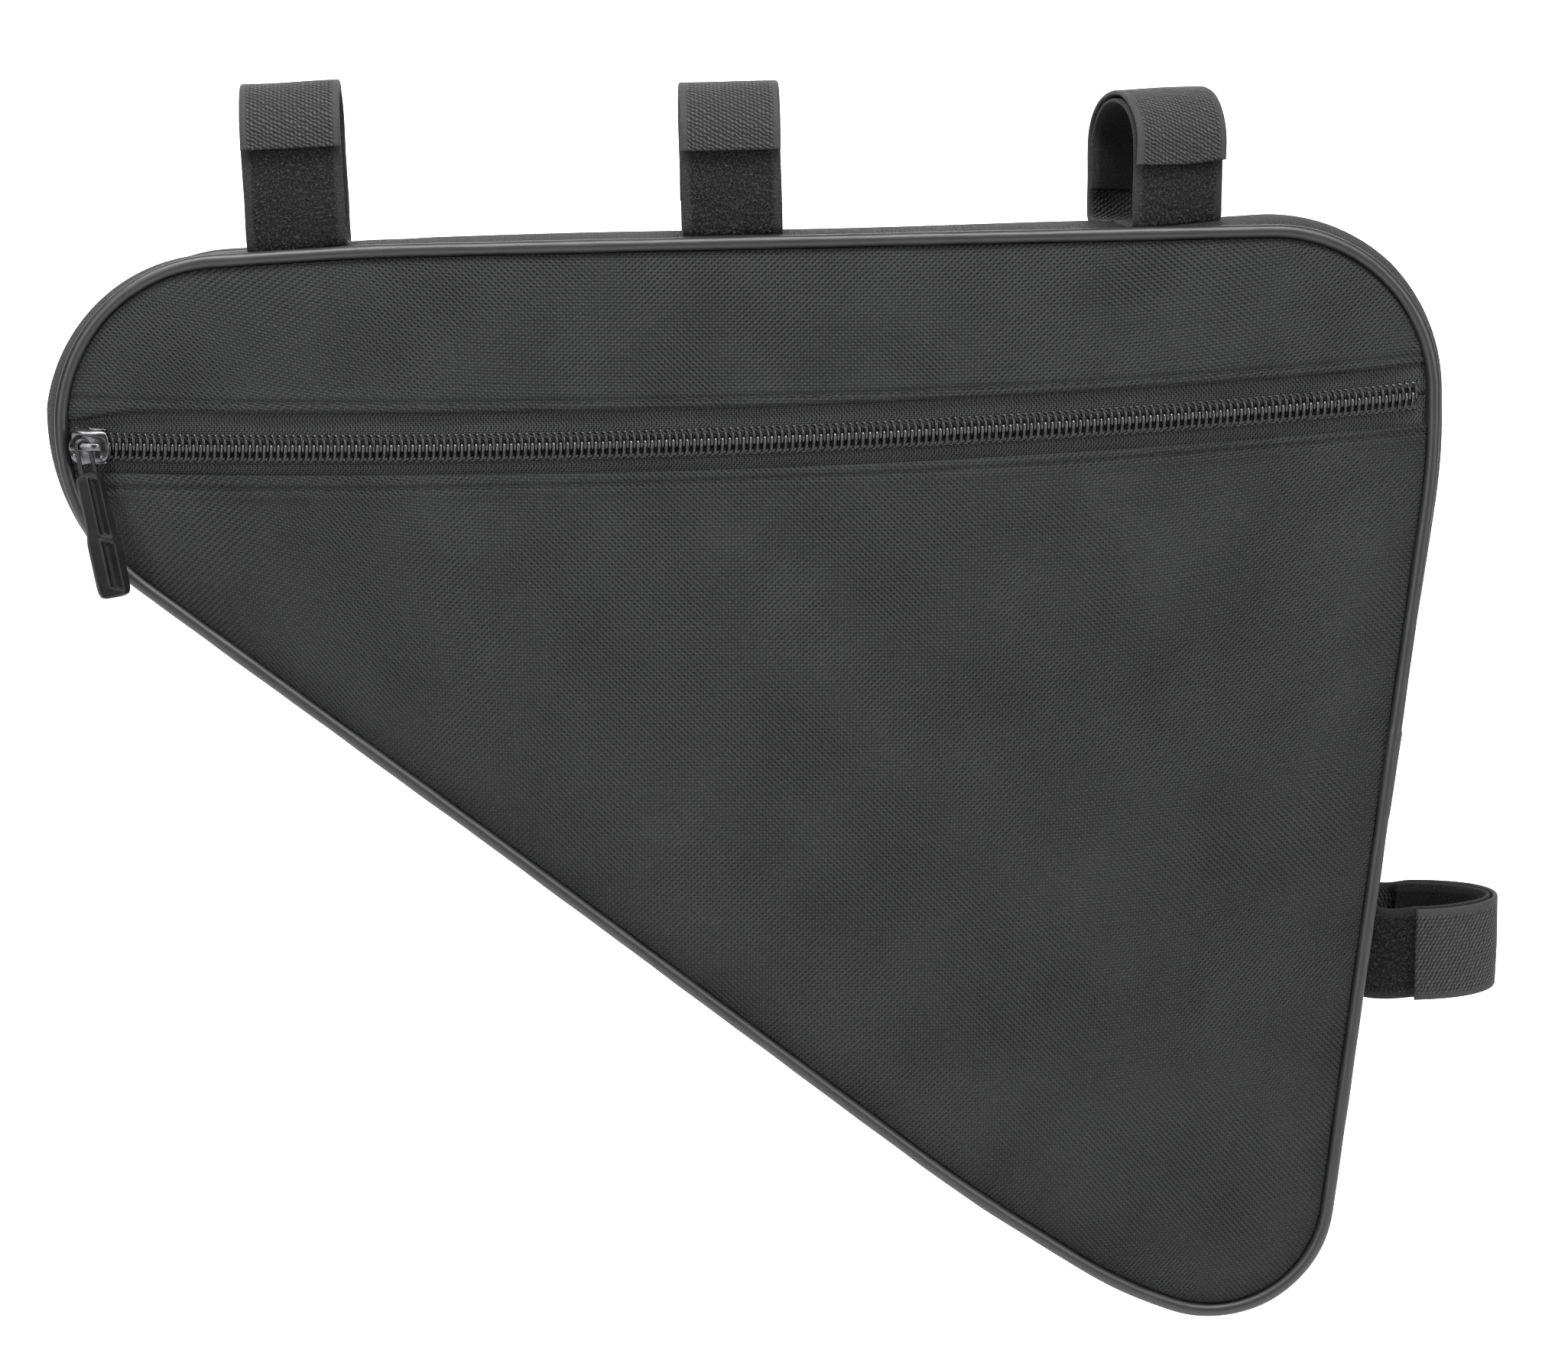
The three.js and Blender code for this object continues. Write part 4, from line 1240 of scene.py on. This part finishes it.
# %% Slider
PLATE_THICKNESS = 1.3
PLATE_FACE = -GAP - PLATE_THICKNESS
LINK_WIRE = 1.1
LINK_RADIUS = 2.5
BAR_OUT = PLATE_FACE - LINK_RADIUS - LINK_WIRE / 2 - GAP
BACK_PLATE = COIL_HEIGHT + TAPE_THICKNESS + 3 * GAP
CROWN_REACH = 0.74 * SLIDER_LENGTH / 2
PLATE_OUTLINE = {"at": (0, 0.1, 0.3, 0.62, 1), "wide": (0.5, 0.84, 1, 0.86, 0.8)}

flip = next(j for j in frame["record"]["behaviour"]["joints"] if j["name"] == "pull_flip")
BAR_AT = Vector(flip["pos_m"])
bar_way = -Vector(flip["axis"])
SLOPE = math.atan2(bar_way.y, bar_way.x)
BAR = Matrix.Translation(BAR_AT) @ Matrix.Rotation(SLOPE, 4, "Z")
SLIDER = BAR @ Matrix.Translation((0, -BAR_OUT * MM, 0))


def plate_half(t):
    rounded = np.interp(t, PLATE_OUTLINE["at"], PLATE_OUTLINE["wide"])
    return SLIDER_WIDTH / 2 * rounded * closing(t, 9)


def plate_thick(t):
    return PLATE_THICKNESS / 2 * closing(t, 7)


def crown_path(t):
    """From the plate at the nose up, along the bar and down again at the tail."""
    turn = math.pi * (1 - t)
    x = CROWN_REACH * fuller(np.cos(turn), 0.62)
    rise = (PLATE_FACE + 0.4) + (BAR_OUT - PLATE_FACE - 0.4) * fuller(np.sin(turn), 0.5)
    return np.column_stack((x, rise, np.zeros_like(t)))


def plate_relief(z, out, t):
    """The casting's lobes: a broad cap above, and a wing at either side of the pull."""
    x = (t - 0.5) * SLIDER_LENGTH
    cap = 2.0 * hump(z - 3.1 + 0.1 * x, 1.35) * hump(x + 0.9, 4.2)
    left_wing = 1.25 * hump(z + 2.4, 1.5) * hump(x + 4.0, 1.9)
    right_wing = 0.8 * hump(z + 3.0, 1.3) * hump(x - 3.6, 1.5)
    return (cap + left_wing + right_wing) * (out > 0) * closing(t, 5)


def slider_parts():
    half = SLIDER_LENGTH / 2
    flange_at = ROW_GAP / 2 + COIL_WIDTH + 0.6
    before = PLATE_FACE + PLATE_THICKNESS / 2
    yield swept("plate", straight((-half, before, 0), (half, before, 0)), plate_half,
                plate_thick, (0, 0, 1), 72, 64, 0.75, relief=plate_relief)
    behind = BACK_PLATE + PLATE_THICKNESS / 2
    back_line = straight((-half * 0.7, behind, 0), (half * 0.7, behind, 0))
    yield swept("back plate", back_line, lambda t: 0.8 * plate_half(t),
                plate_thick, (0, 0, 1), 32, 28, 0.6)
    for up in (-1, 1):
        level = up * flange_at
        flange_line = straight((-half * 0.55, 0.5, level), (half * 0.8, 0.5, level))
        yield swept("flange", flange_line, lambda t: 1.3 * closing(t, 5),
                    lambda t: 0.42 * closing(t, 7), (0, 1, 0), 24, 16, 0.6)
    yield swept("post", straight((-half * 0.66, 1.2, 0), (-half * 0.3, 1.2, 0)),
                lambda t: np.full_like(t, 2.6), lambda t: 1.0 * closing(t, 3), (0, 1, 0), 12, 16, 0.6)
    yield swept("crown", crown_path, lambda t: 0.95 + 0.9 * hump(t, 0.14) + 0.5 * hump(t - 1, 0.12),
                lambda t: 0.5 + 0.16 * hump(t - 0.1, 0.2), (0, 0, 1), 56, 18, 0.8)


def plated_metal(name, dark, light):
    m = Finish(name, Metallic=1.0, Roughness=0.25)
    place = m.node("TexCoord").outputs["Object"]
    cast = m.noise(place, 420.0, 2.0, 0.5)
    scratches = m.noise(m.stretched(place, (300, 2500, 900)), 1.0, 2.0)
    colour = m.ramp(cast, (0.3, dark), (0.75, light))
    rough = m.math("MULTIPLY_ADD", cast, 0.25, 0.2)
    height = m.math("ADD", cast, m.math("MULTIPLY", scratches, 0.2))
    return m.done(colour, rough, m.bump(height, 0.03))


metal_finish = plated_metal("plated metal", (0.11, 0.11, 0.113), (0.26, 0.26, 0.267))
wire_finish = plated_metal("dark wire", (0.035, 0.035, 0.036), (0.09, 0.09, 0.093))
piece(
    "slider_casting", joined("slider casting", list(slider_parts()), SLIDER), metal_finish,
    replaces=["zip_slider"],
)

# %% [markdown]
# The pull is a wire bent round the crown's bar, with its two ends moulded into a rubber
# grip. It swings on the bar, so wire and grip ride on the pull's own body. The grip has a
# slim stem and a wider foot, and each face carries a raised rim round two plain recesses.

# %% Wire link
GRIP_BELOW_BAR = 6.4
LINK_GRIPPED = 3.4
# The wire bends tighter than the frame's link, whose radius places the bar.
LINK_BEND = 1.75
PULL_LEAN = 14.4
PULL_TILT = 4
PULL_TWIST = -45
PULL_TURNS = (("X", -PULL_TILT), ("Y", -PULL_LEAN), ("Z", PULL_TWIST))
PULL = BAR
for axis, degrees in PULL_TURNS:
    PULL = PULL @ Matrix.Rotation(math.radians(degrees), 4, axis)


def link_path(t):
    """Up one leg, round the bar and down the other leg."""
    leg = GRIP_BELOW_BAR + LINK_GRIPPED
    bend = math.pi * LINK_BEND
    gone = t * (2 * leg + bend)
    turn = np.clip((gone - leg) / LINK_BEND, 0, math.pi)
    down = -np.maximum(0, leg - gone) - np.maximum(0, gone - leg - bend)
    y = -LINK_BEND * np.cos(turn)
    z = LINK_BEND * np.sin(turn) + down
    return np.column_stack((np.zeros_like(t), y, z))


def wire_half(t):
    return np.full_like(t, LINK_WIRE / 2)


link_mesh = swept("link", link_path, wire_half, wire_half, (1, 0, 0), 90, 14)
piece(
    "link_wire", joined("link wire", [link_mesh], PULL),
    wire_finish, body="pull", replaces=["pull_link"],
)

# %% Rubber grip
GRIP_LENGTH = 31.5
GRIP_WIDTH = 8.2
GRIP_THICKNESS = 4.2
GRIP_AT = (0, 0.012, 0.03, 0.07, 0.45, 0.56, 0.9, 0.95, 0.985, 1)
GRIP_WIDE = (0.3, 0.6, 0.76, 0.83, 0.86, 1, 1, 0.97, 0.86, 0.6)
GRIP_THICK = (0.3, 0.62, 0.78, 0.86, 0.88, 1, 1, 0.95, 0.82, 0.5)
RIM_WIDE = 0.5
RIM_HIGH = 0.28
RECESS_DEEP = 0.32
RECESS_SLANT = 0.42
RECESS_ROUND = 0.7
# Recesses in each face: from and to as shares of the length, and half the width.
RECESSES = [(0.045, 0.535, 1.75), (0.555, 0.955, 2.1)]


def grip_relief(y, out, t):
    """How far a grip's face stands out: raised rims round sunken plain fields."""
    rise = np.zeros_like(t)
    for start, end, half in RECESSES:
        middle, reach = (start + end) / 2 * GRIP_LENGTH, (end - start) / 2 * GRIP_LENGTH
        dy = np.abs(y) - half + RECESS_ROUND
        dz = np.abs(t * GRIP_LENGTH - middle - RECESS_SLANT * y) - reach + RECESS_ROUND
        corner = np.hypot(np.maximum(dy, 0), np.maximum(dz, 0))
        inside = corner + np.minimum(np.maximum(dy, dz), 0) - RECESS_ROUND
        floor = 1 - smooth(inside, -RIM_WIDE - 0.16, -RIM_WIDE + 0.06)
        rim = (1 - smooth(inside, -0.1, 0.12)) * (1 - floor)
        rise += RIM_HIGH * rim - RECESS_DEEP * floor
    return rise


def grip_mesh():
    top, foot = (0, 0, -GRIP_BELOW_BAR), (0, 0, -GRIP_BELOW_BAR - GRIP_LENGTH)
    return swept(
        "grip", straight(top, foot),
        lambda t: GRIP_WIDTH / 2 * np.interp(t, GRIP_AT, GRIP_WIDE),
        lambda t: GRIP_THICKNESS / 2 * np.interp(t, GRIP_AT, GRIP_THICK),
        (0, 1, 0), 210, 104, 0.42, relief=grip_relief, chamfer=1.42,
    )


def rubber(name):
    m = Finish(name, Roughness=0.45, Specular_IOR_Level=0.2)
    place = m.node("TexCoord").outputs["Object"]
    matt = m.noise(place, 2600.0, 2.0, 0.6)
    worn = m.noise(place, 160.0, 3.0)
    # The relief kept in the "rise" map paints the rims lighter, as painted highlight, and the recesses
    # darker, as painted shade; random wear varies the tone on top.
    rim_light_recess_shade = m.node("MapRange", {0: m.map("rise")[0], 1: -0.1, 2: RIM_HIGH})
    tone = m.math("MULTIPLY_ADD", rim_light_recess_shade, 0.7, m.math("MULTIPLY", worn, 0.4))
    colour = m.ramp(tone, (0.1, 0.002), (0.9, (0.028, 0.028, 0.029)))
    rough = m.math("MULTIPLY_ADD", worn, 0.3, 0.3)
    return m.done(colour, rough, m.bump(matt, 0.035))


piece(
    "grip_rubber", joined("grip rubber", [grip_mesh()], PULL), rubber("rubber"),
    body="pull", replaces=["pull_grip"],
)

# %% [markdown]
# ## Straps
#
# Each strap is two tapes: a fuzzy one that rises from a foot at the front, and a woven
# hook tape that rises from a foot at the back, lies over the fuzzy one and ends on the
# front leg. A box bent into a loop would lose the two layers. Each tape is a thin
# rounded section carried along the loop's own path.

# %% Sizes of the straps
STRAP_WIDTH = 25
LOOP_TAPE = 1.6
LOOP_WEB = 1.05
HOOK_TAPE = 1.2
STRAP_SPACING = 107
LOOP_HEIGHT = 41.2
LOOP_DEPTH = 27.5
STRAP_FORWARD = 4
BASE_BEND = 2.2
BASE_LENGTH = 8
LEAN_HEIGHT = 12
SEAT_STRAP_DROP = 200.4
FOOT_SUNK = 1.25
ALONG_TOP = {"left": -1.015, "middle": 0, "right": 1}
STRAPS = {
    "left": {"height": 1, "depth": 0.84, "arch": 1, "twist": 0, "lean": 2.4, "hook_end": 0.4},
    "middle": {"height": 0.905, "depth": 0.9, "arch": 1, "twist": 0, "lean": 0, "hook_end": 0.46},
    "right": {"height": 0.805, "depth": 0.96, "arch": 1, "twist": 21, "lean": 2.4, "hook_end": 0.58,
              "slant": 2.6, "rise": 0.9},
    "seat": {"height": 0.81, "depth": 0.7, "arch": 2.4, "twist": 13, "lean": -9, "hook_end": 0.66},
}


# %% Where each strap sits on the gusset
def gusset_crown(x, z):
    x, z, nx, nz, bulge = seam(seam_position(x, z))
    return np.array((x + nx * bulge, z + nz * bulge)), np.array((nx, nz)), bulge


def strap_seat(x, z, twist):
    """The strap's place on the gusset's crown, and how far the gusset bulges there."""
    at, normal, bulge = gusset_crown(x, z)
    reach = np.array((normal[1], -normal[0])) * STRAP_WIDTH / 2
    right = gusset_crown(x + reach[0], z + reach[1])[0]
    left = gusset_crown(x - reach[0], z - reach[1])[0]
    along = (right - left) / np.linalg.norm(right - left)
    out = np.array((-along[1], along[0]))
    middle = (left + right) / 2
    middle = middle + out * max(0, float((at - middle) @ out))
    turn = Matrix.Rotation(math.atan2(out[0], out[1]), 4, "Y")
    place = Matrix.Translation((middle[0], -STRAP_FORWARD, middle[1]))
    return np.array(place @ turn @ Matrix.Rotation(math.radians(twist), 4, "Z")), bulge


def strap_path(row, foot, off, base, stop):
    """A tape's line as rows of y, z and the normal that points out of the loop."""
    half = row["depth"] * LOOP_DEPTH / 2 - GAP / 2
    arch = row["arch"] * half
    top = row["height"] * LOOP_HEIGHT - HOOK_TAPE - GAP / 2
    leg = half + off
    flat = min(BASE_LENGTH, leg - BASE_BEND - GAP)
    line = [(foot * (leg - BASE_BEND - flat), base, 0, -1)]
    for turn in np.radians(np.linspace(0, 90, 10)):
        y = foot * (leg - BASE_BEND + BASE_BEND * np.sin(turn))
        z = base + BASE_BEND - BASE_BEND * np.cos(turn)
        line.append((y, z, foot * np.sin(turn), -np.cos(turn)))
    for turn in np.linspace(0, math.pi, 61):
        cos, sin = foot * np.cos(turn), np.sin(turn)
        out = np.array((arch * cos, half * sin)) / np.hypot(arch * cos, half * sin)
        line.append((half * cos + off * out[0], top - arch + arch * sin + off * out[1], *out))
    line.append((-foot * leg, 0, -foot, 0))
    line = np.array(line)
    last = np.flatnonzero(line[:, 1] > stop)[-1]
    share = (line[last, 1] - stop) / (line[last, 1] - line[last + 1, 1])
    end = lerp(line[last], line[last + 1], share)
    return np.vstack((line[: last + 1], end))


class StrapTape:
    """One tape of one strap: asks for places on it by side, distance and height."""

    def __init__(self, row, seat, bulge, line):
        self.row, self.seat, self.line = row, seat, line
        step = np.hypot(np.diff(line[:, 0]), np.diff(line[:, 1]))
        self.gone = np.concatenate(([0], np.cumsum(step)))
        self.long = self.gone[-1]
        self.bulge = bulge

    def at(self, side, gone, out):
        """Side across the tape, distance along it, and height over its middle line."""
        y, z, ny, nz = [np.interp(gone, self.gone, self.line[:, k]) for k in range(4)]
        size = np.hypot(ny, nz)
        y, z = y + ny / size * out, z + nz / size * out
        twist = math.radians(self.row["twist"])
        from_middle = y * math.cos(twist) + side * math.sin(twist) - STRAP_FORWARD
        sunk = FOOT_SUNK + self.bulge * (from_middle / GUSSET_HALF) ** 2
        z = z - sunk * (1 - smooth(z, 0, 9))
        z = z + self.row.get("rise", 0) * 2 * side / STRAP_WIDTH * smooth(z, 8, 40)
        turn = math.radians(self.row["lean"]) * smooth(z, 0, LEAN_HEIGHT)
        x = side * np.cos(turn) + z * np.sin(turn)
        z = z * np.cos(turn) - side * np.sin(turn)
        points = np.column_stack(np.broadcast_arrays(x, y, z))
        return points @ self.seat[:3, :3].T + self.seat[:3, 3]

    def height_at(self, level):
        """How far along the first leg this height is."""
        rising = self.line[: self.line[:, 1].argmax() + 1]
        return float(np.interp(level, rising[:, 1], self.gone[: len(rising)]))


def strap_tapes(name):
    row = STRAPS[name]
    if name == "seat":
        x, z = float(seam_sides(-SEAT_STRAP_DROP)[1]), -SEAT_STRAP_DROP
    else:
        x, z = ALONG_TOP[name] * STRAP_SPACING, -TUBE_ABOVE_SEAM
    seat, bulge = strap_seat(x, z, row["twist"])
    height = row["height"] * LOOP_HEIGHT
    low_end = 2 * BASE_BEND + 2 * LOOP_TAPE
    loop = strap_path(row, -1, -(GAP + LOOP_TAPE) / 2, GAP + LOOP_TAPE / 2, low_end)
    hook_stop = height * (1 - row["hook_end"])
    hook = strap_path(row, 1, (GAP + HOOK_TAPE) / 2, GAP + HOOK_TAPE / 2, hook_stop)
    return StrapTape(row, seat, bulge, loop), StrapTape(row, seat, bulge, hook), hook_stop


# %% [markdown]
# The hook tape shows its woven back: columns of short slanted dashes, chained one over
# the other, between two plain selvages. The fuzzy tape's web is dark, with ribbed edges,
# and its pile is real loops of fibre, thousands of them, each a tiny half ring.

# %% Woven hook tape and fuzzy tape
HOOK_COLUMN = 0.98
HOOK_DASH = 1.02
SELVAGE = 10.7


def edge_mask(m, side, start, width=0.5):
    """0 on the tape's middle and 1 on its selvages."""
    return m.node("MapRange", {0: m.math("ABSOLUTE", side), 1: start - width / 2, 2: start + width / 2})


def hook_back(name):
    m = Finish(name, Roughness=0.7, Specular_IOR_Level=0.25, Sheen_Weight=0.08)
    side, along, place = m.map("flat")
    column = m.math("DIVIDE", side, HOOK_COLUMN)
    number = m.math("FLOOR", column)
    within = m.math("SUBTRACT", column, number)
    odd = m.math("MULTIPLY", m.math("FLOORED_MODULO", number, 2.0), 0.5)
    wobble = m.math("MULTIPLY", m.noise(place, 0.6, 2.0), 1.3)
    slanted = m.math("MULTIPLY_ADD", within, -0.6, m.math("ADD", odd, wobble))
    phase = m.math("ADD", m.math("DIVIDE", along, HOOK_DASH), slanted)
    dash = m.math("SINE", m.math("MULTIPLY", phase, 2 * math.pi))
    dash = m.math("MULTIPLY_ADD", dash, 0.5, 0.5)
    rounded = m.math("SINE", m.math("MULTIPLY", within, math.pi))
    chain = m.math("MULTIPLY", m.math("POWER", rounded, 0.7), dash)
    ribs = m.math("SINE", m.math("MULTIPLY", along, 2 * math.pi / 0.55))
    ribs = m.math("MULTIPLY_ADD", ribs, 0.05, 0.42)
    mask = edge_mask(m, side, SELVAGE)
    chain = m.math("MULTIPLY", chain, m.math("SUBTRACT", 1.0, mask))
    woven = m.math("ADD", chain, m.math("MULTIPLY", ribs, mask))
    fine = m.noise(place, 3.2, 3.0, 0.7)
    height = m.math("MULTIPLY_ADD", fine, 0.45, woven)
    # The colour follows the height of the woven chain, so the low places between the dashes are painted
    # darker as painted shade, with random fine grain on top.
    tone = m.math("MULTIPLY_ADD", fine, 0.55, m.math("MULTIPLY", woven, 0.56))
    colour = m.ramp(tone, (0.24, 0.006), (0.84, (0.112, 0.112, 0.115)))
    return m.done(colour, None, m.bump(height, 0.42))


def fuzzy_web(name):
    m = Finish(name, Roughness=0.9, Specular_IOR_Level=0.15, Sheen_Weight=0.1)
    side, along, place = m.map("flat")
    ribs = m.math("SINE", m.math("MULTIPLY", along, 2 * math.pi / 0.6))
    mask = edge_mask(m, side, SELVAGE - 0.4, 0.8)
    fuzz = m.noise(place, 1.9, 4.0, 0.75)
    ribbed = m.math("MULTIPLY", m.math("MULTIPLY_ADD", ribs, 0.05, 0.4), mask)
    height = m.math("ADD", m.math("MULTIPLY", fuzz, 1.2), ribbed)
    tone = m.math("ADD", m.math("MULTIPLY", fuzz, 0.85), m.math("MULTIPLY", mask, 0.16))
    colour = m.ramp(tone, (0.3, 0.003), (0.75, (0.06, 0.06, 0.062)))
    return m.done(colour, None, m.bump(height, 0.4))


def fibre(name):
    m = Finish(name, Roughness=0.8, Specular_IOR_Level=0.3, Sheen_Weight=0.3)
    place = m.node("TexCoord").outputs["Object"]
    colour = m.ramp(m.noise(place, 1500.0, 1.0), (0.4, 0.008), (0.65, (0.12, 0.12, 0.122)))
    return m.done(colour)


hook_finish = hook_back("woven hook tape")
web_finish = fuzzy_web("fuzzy tape web")
fibre_finish = fibre("fuzzy fibres")
print("strap finishes ready")


# %% One tape as a mesh
def strip_section(low, high, flat_cells=26, round_cells=4):
    """Side and height of a flat section with rounded edges, once round it."""
    half_wall, level = (high - low) / 2, (high + low) / 2
    reach = STRAP_WIDTH / 2 - half_wall
    top = [(side, high) for side in np.linspace(-reach, reach, flat_cells)]
    turns = np.linspace(90, -90, round_cells + 1)[1:-1]
    right = [(reach + half_wall * np.cos(a), level + half_wall * np.sin(a)) for a in np.radians(turns)]
    bottom = [(-side, low) for side, _ in top]
    left = [(-side, 2 * level - out) for side, out in right]
    return np.array(top + right + bottom + left)


def tape_mesh(tape, low, high, along, slant=0):
    section = strip_section(low, high)
    around = len(section)

    def place(u, v):
        k = np.rint(v * around).astype(int) % around
        side, out = section[k, 0], section[k, 1]
        gone = u * (tape.long - slant * side / STRAP_WIDTH)
        ripple = 0.05 * np.sin(gone / 2.3 + side / 6) + 0.07 * np.sin(gone / 5.7 - side / 4)
        points = tape.at(side + 0.12 * np.sin(gone / 8), gone, out + ripple)
        return points, {"flat": np.column_stack((side, gone))}

    return lay("tape", along, around, place, capped=True)


# %% Pile of the fuzzy tape
PILE_LOOPS = 1900
PILE_HIGH = 0.62
FIBRE_RADIUS = 0.035


def one_loop():
    """A half ring of fibre that stands on its two ends, in millimetres."""
    bm = bmesh.new()
    made = bmesh.ops.create_circle(bm, segments=3, radius=FIBRE_RADIUS)
    bmesh.ops.translate(bm, verts=made["verts"], vec=(PILE_HIGH / 2, 0, 0))
    edges = list(bm.edges)
    bmesh.ops.spin(bm, geom=edges + made["verts"], cent=(0, 0, 0), axis=(0, -1, 0), angle=math.pi,
                   steps=4, use_merge=False, use_duplicate=False)
    bmesh.ops.scale(bm, verts=bm.verts, vec=(0.9, 1, 2))
    bmesh.ops.recalc_face_normals(bm, faces=bm.faces)
    mesh = bpy.data.meshes.new("one loop")
    bm.to_mesh(mesh)
    bm.free()
    return mesh


def pile_places(tape, level):
    """Random places on the fuzzy face, from the foot's bend up under the hook tape."""
    start, end = tape.height_at(GAP + LOOP_TAPE), tape.height_at(level) + 1.5
    side = rng.uniform(-SELVAGE, SELVAGE, PILE_LOOPS)
    gone = rng.uniform(start, end, PILE_LOOPS)
    face = LOOP_WEB - LOOP_TAPE / 2 - 0.06
    at = tape.at(side, gone, face)
    out = tape.at(side, gone, face + 1) - at
    way = tape.at(side, gone + 0.5, face) - at
    across = np.cross(out, way)
    turn = rng.uniform(0, math.pi, PILE_LOOPS)[:, None]
    tilt = rng.normal(0, 0.35, (PILE_LOOPS, 3))
    way = way / np.linalg.norm(way, axis=1)[:, None]
    across = across / np.linalg.norm(across, axis=1)[:, None]
    direction = np.cos(turn) * way + np.sin(turn) * across
    places = np.array([facing(p, w, o + t) for p, w, o, t in zip(at, direction, out, tilt)])
    size = rng.uniform(0.6, 1.15, PILE_LOOPS)[:, None, None]
    places[:, :3, :3] *= size
    return places


# %% Build the four straps
BASE_ROWS = (3.4, 5.0, 6.6, 8.2, 9.8)
BASE_STITCH = 2.4


def base_stitches(tape, out):
    """Rows of stitches across the tape, just above its foot, on one face."""
    made = []
    side = np.linspace(-STRAP_WIDTH / 2 + 1.4, STRAP_WIDTH / 2 - 1.4, 30)
    for level in BASE_ROWS:
        gone = np.full_like(side, tape.height_at(level))
        line = tape.at(side, gone, out)
        normal = tape.at(side, gone, out + np.sign(out))[0] - line[0]
        made += stitch_places(line, BASE_STITCH, normal)
    return made


def strap_pieces(name):
    loop, hook, hook_stop = strap_tapes(name)
    prefix = "seat_strap" if name == "seat" else "strap_" + name
    web = tape_mesh(loop, -LOOP_TAPE / 2, LOOP_WEB - LOOP_TAPE / 2, 120)
    piece(prefix + "_web", web, web_finish, replaces=[prefix + "_loop"])
    woven = tape_mesh(hook, -HOOK_TAPE / 2, HOOK_TAPE / 2, 120, STRAPS[name].get("slant", 0))
    piece(prefix + "_woven", woven, hook_finish, replaces=[prefix + "_hook"])
    pile = repeated(prefix + " pile", one_loop(), pile_places(loop, hook_stop))
    piece(prefix + "_pile", pile, fibre_finish)
    faces = base_stitches(hook, -HOOK_TAPE / 2) + base_stitches(hook, HOOK_TAPE / 2)
    stitch = one_stitch(BASE_STITCH * 0.8, THREAD_RADIUS, 0.2)
    sewn = repeated(prefix + " stitches", stitch, np.array(faces))
    piece(prefix + "_stitches", sewn, thread_finish)


for strap_name in STRAPS:
    strap_pieces(strap_name)

# %% [markdown]
# ## The cut cloth
#
# The four cloths are sheets, held stretched between the pipings. The pattern can't be seen,
# so each cut piece is worked out flat, before it is swollen and sewn: the panel's outline
# along its seam and its fold, or the gusset's length and width, with a seam allowance all
# round. Beside each cut, the area of the swollen cloth is printed.


SEAM_ALLOWANCE = 5


def front_outline(up):
    """A front panel's flat outline: its stretch of the seam, then its fold back again."""
    first, last = stretch_of(up)
    x, z = rim(np.linspace(first, last, 900))
    back = np.linspace(x[-1], x[0], 300)
    return np.append(x, back), np.append(z, fold_z(back, up))


def cut_from(x, z):
    """Box and area of the cloth for this outline with its allowance, in metres."""
    inside = abs(x @ np.roll(z, 1) - z @ np.roll(x, 1)) / 2
    round_it = np.hypot(x - np.roll(x, 1), z - np.roll(z, 1)).sum()
    area = inside + round_it * SEAM_ALLOWANCE + math.pi * SEAM_ALLOWANCE**2
    box = [(np.ptp(side) + 2 * SEAM_ALLOWANCE) * MM for side in (x, z)]
    return tuple(box), area * MM**2


def cut_band(long, wide):
    box = [(side + 2 * SEAM_ALLOWANCE) * MM for side in (long, wide)]
    return tuple(box), box[0] * box[1]


CUT = {
    "upper": (upper, [hem], cut_from(*front_outline(1))),
    "lower": (lower, [], cut_from(*front_outline(-1))),
    "back": (back, [], cut_from(*rim(SEAM_AT))),
    "gusset": (gusset, [], cut_band(SEAM_LENGTH, 2 * GUSSET_HALF)),
}
for sheet_name, (obj, sewn_on, (box, area)) in CUT.items():
    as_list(sewn_on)
    made = sum(face.area for face in obj.data.polygons)
    print(sheet_name, "cut", [round(side, 3) for side in box], round(area, 4), "swollen", round(made, 4))

# %% Sizes of the frame and of the dressed bag
boxes = {"cad": CAD_BOX, "visual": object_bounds()}
{name: [list(corner) for corner in box] for name, box in boxes.items()}
print("boxes", boxes)
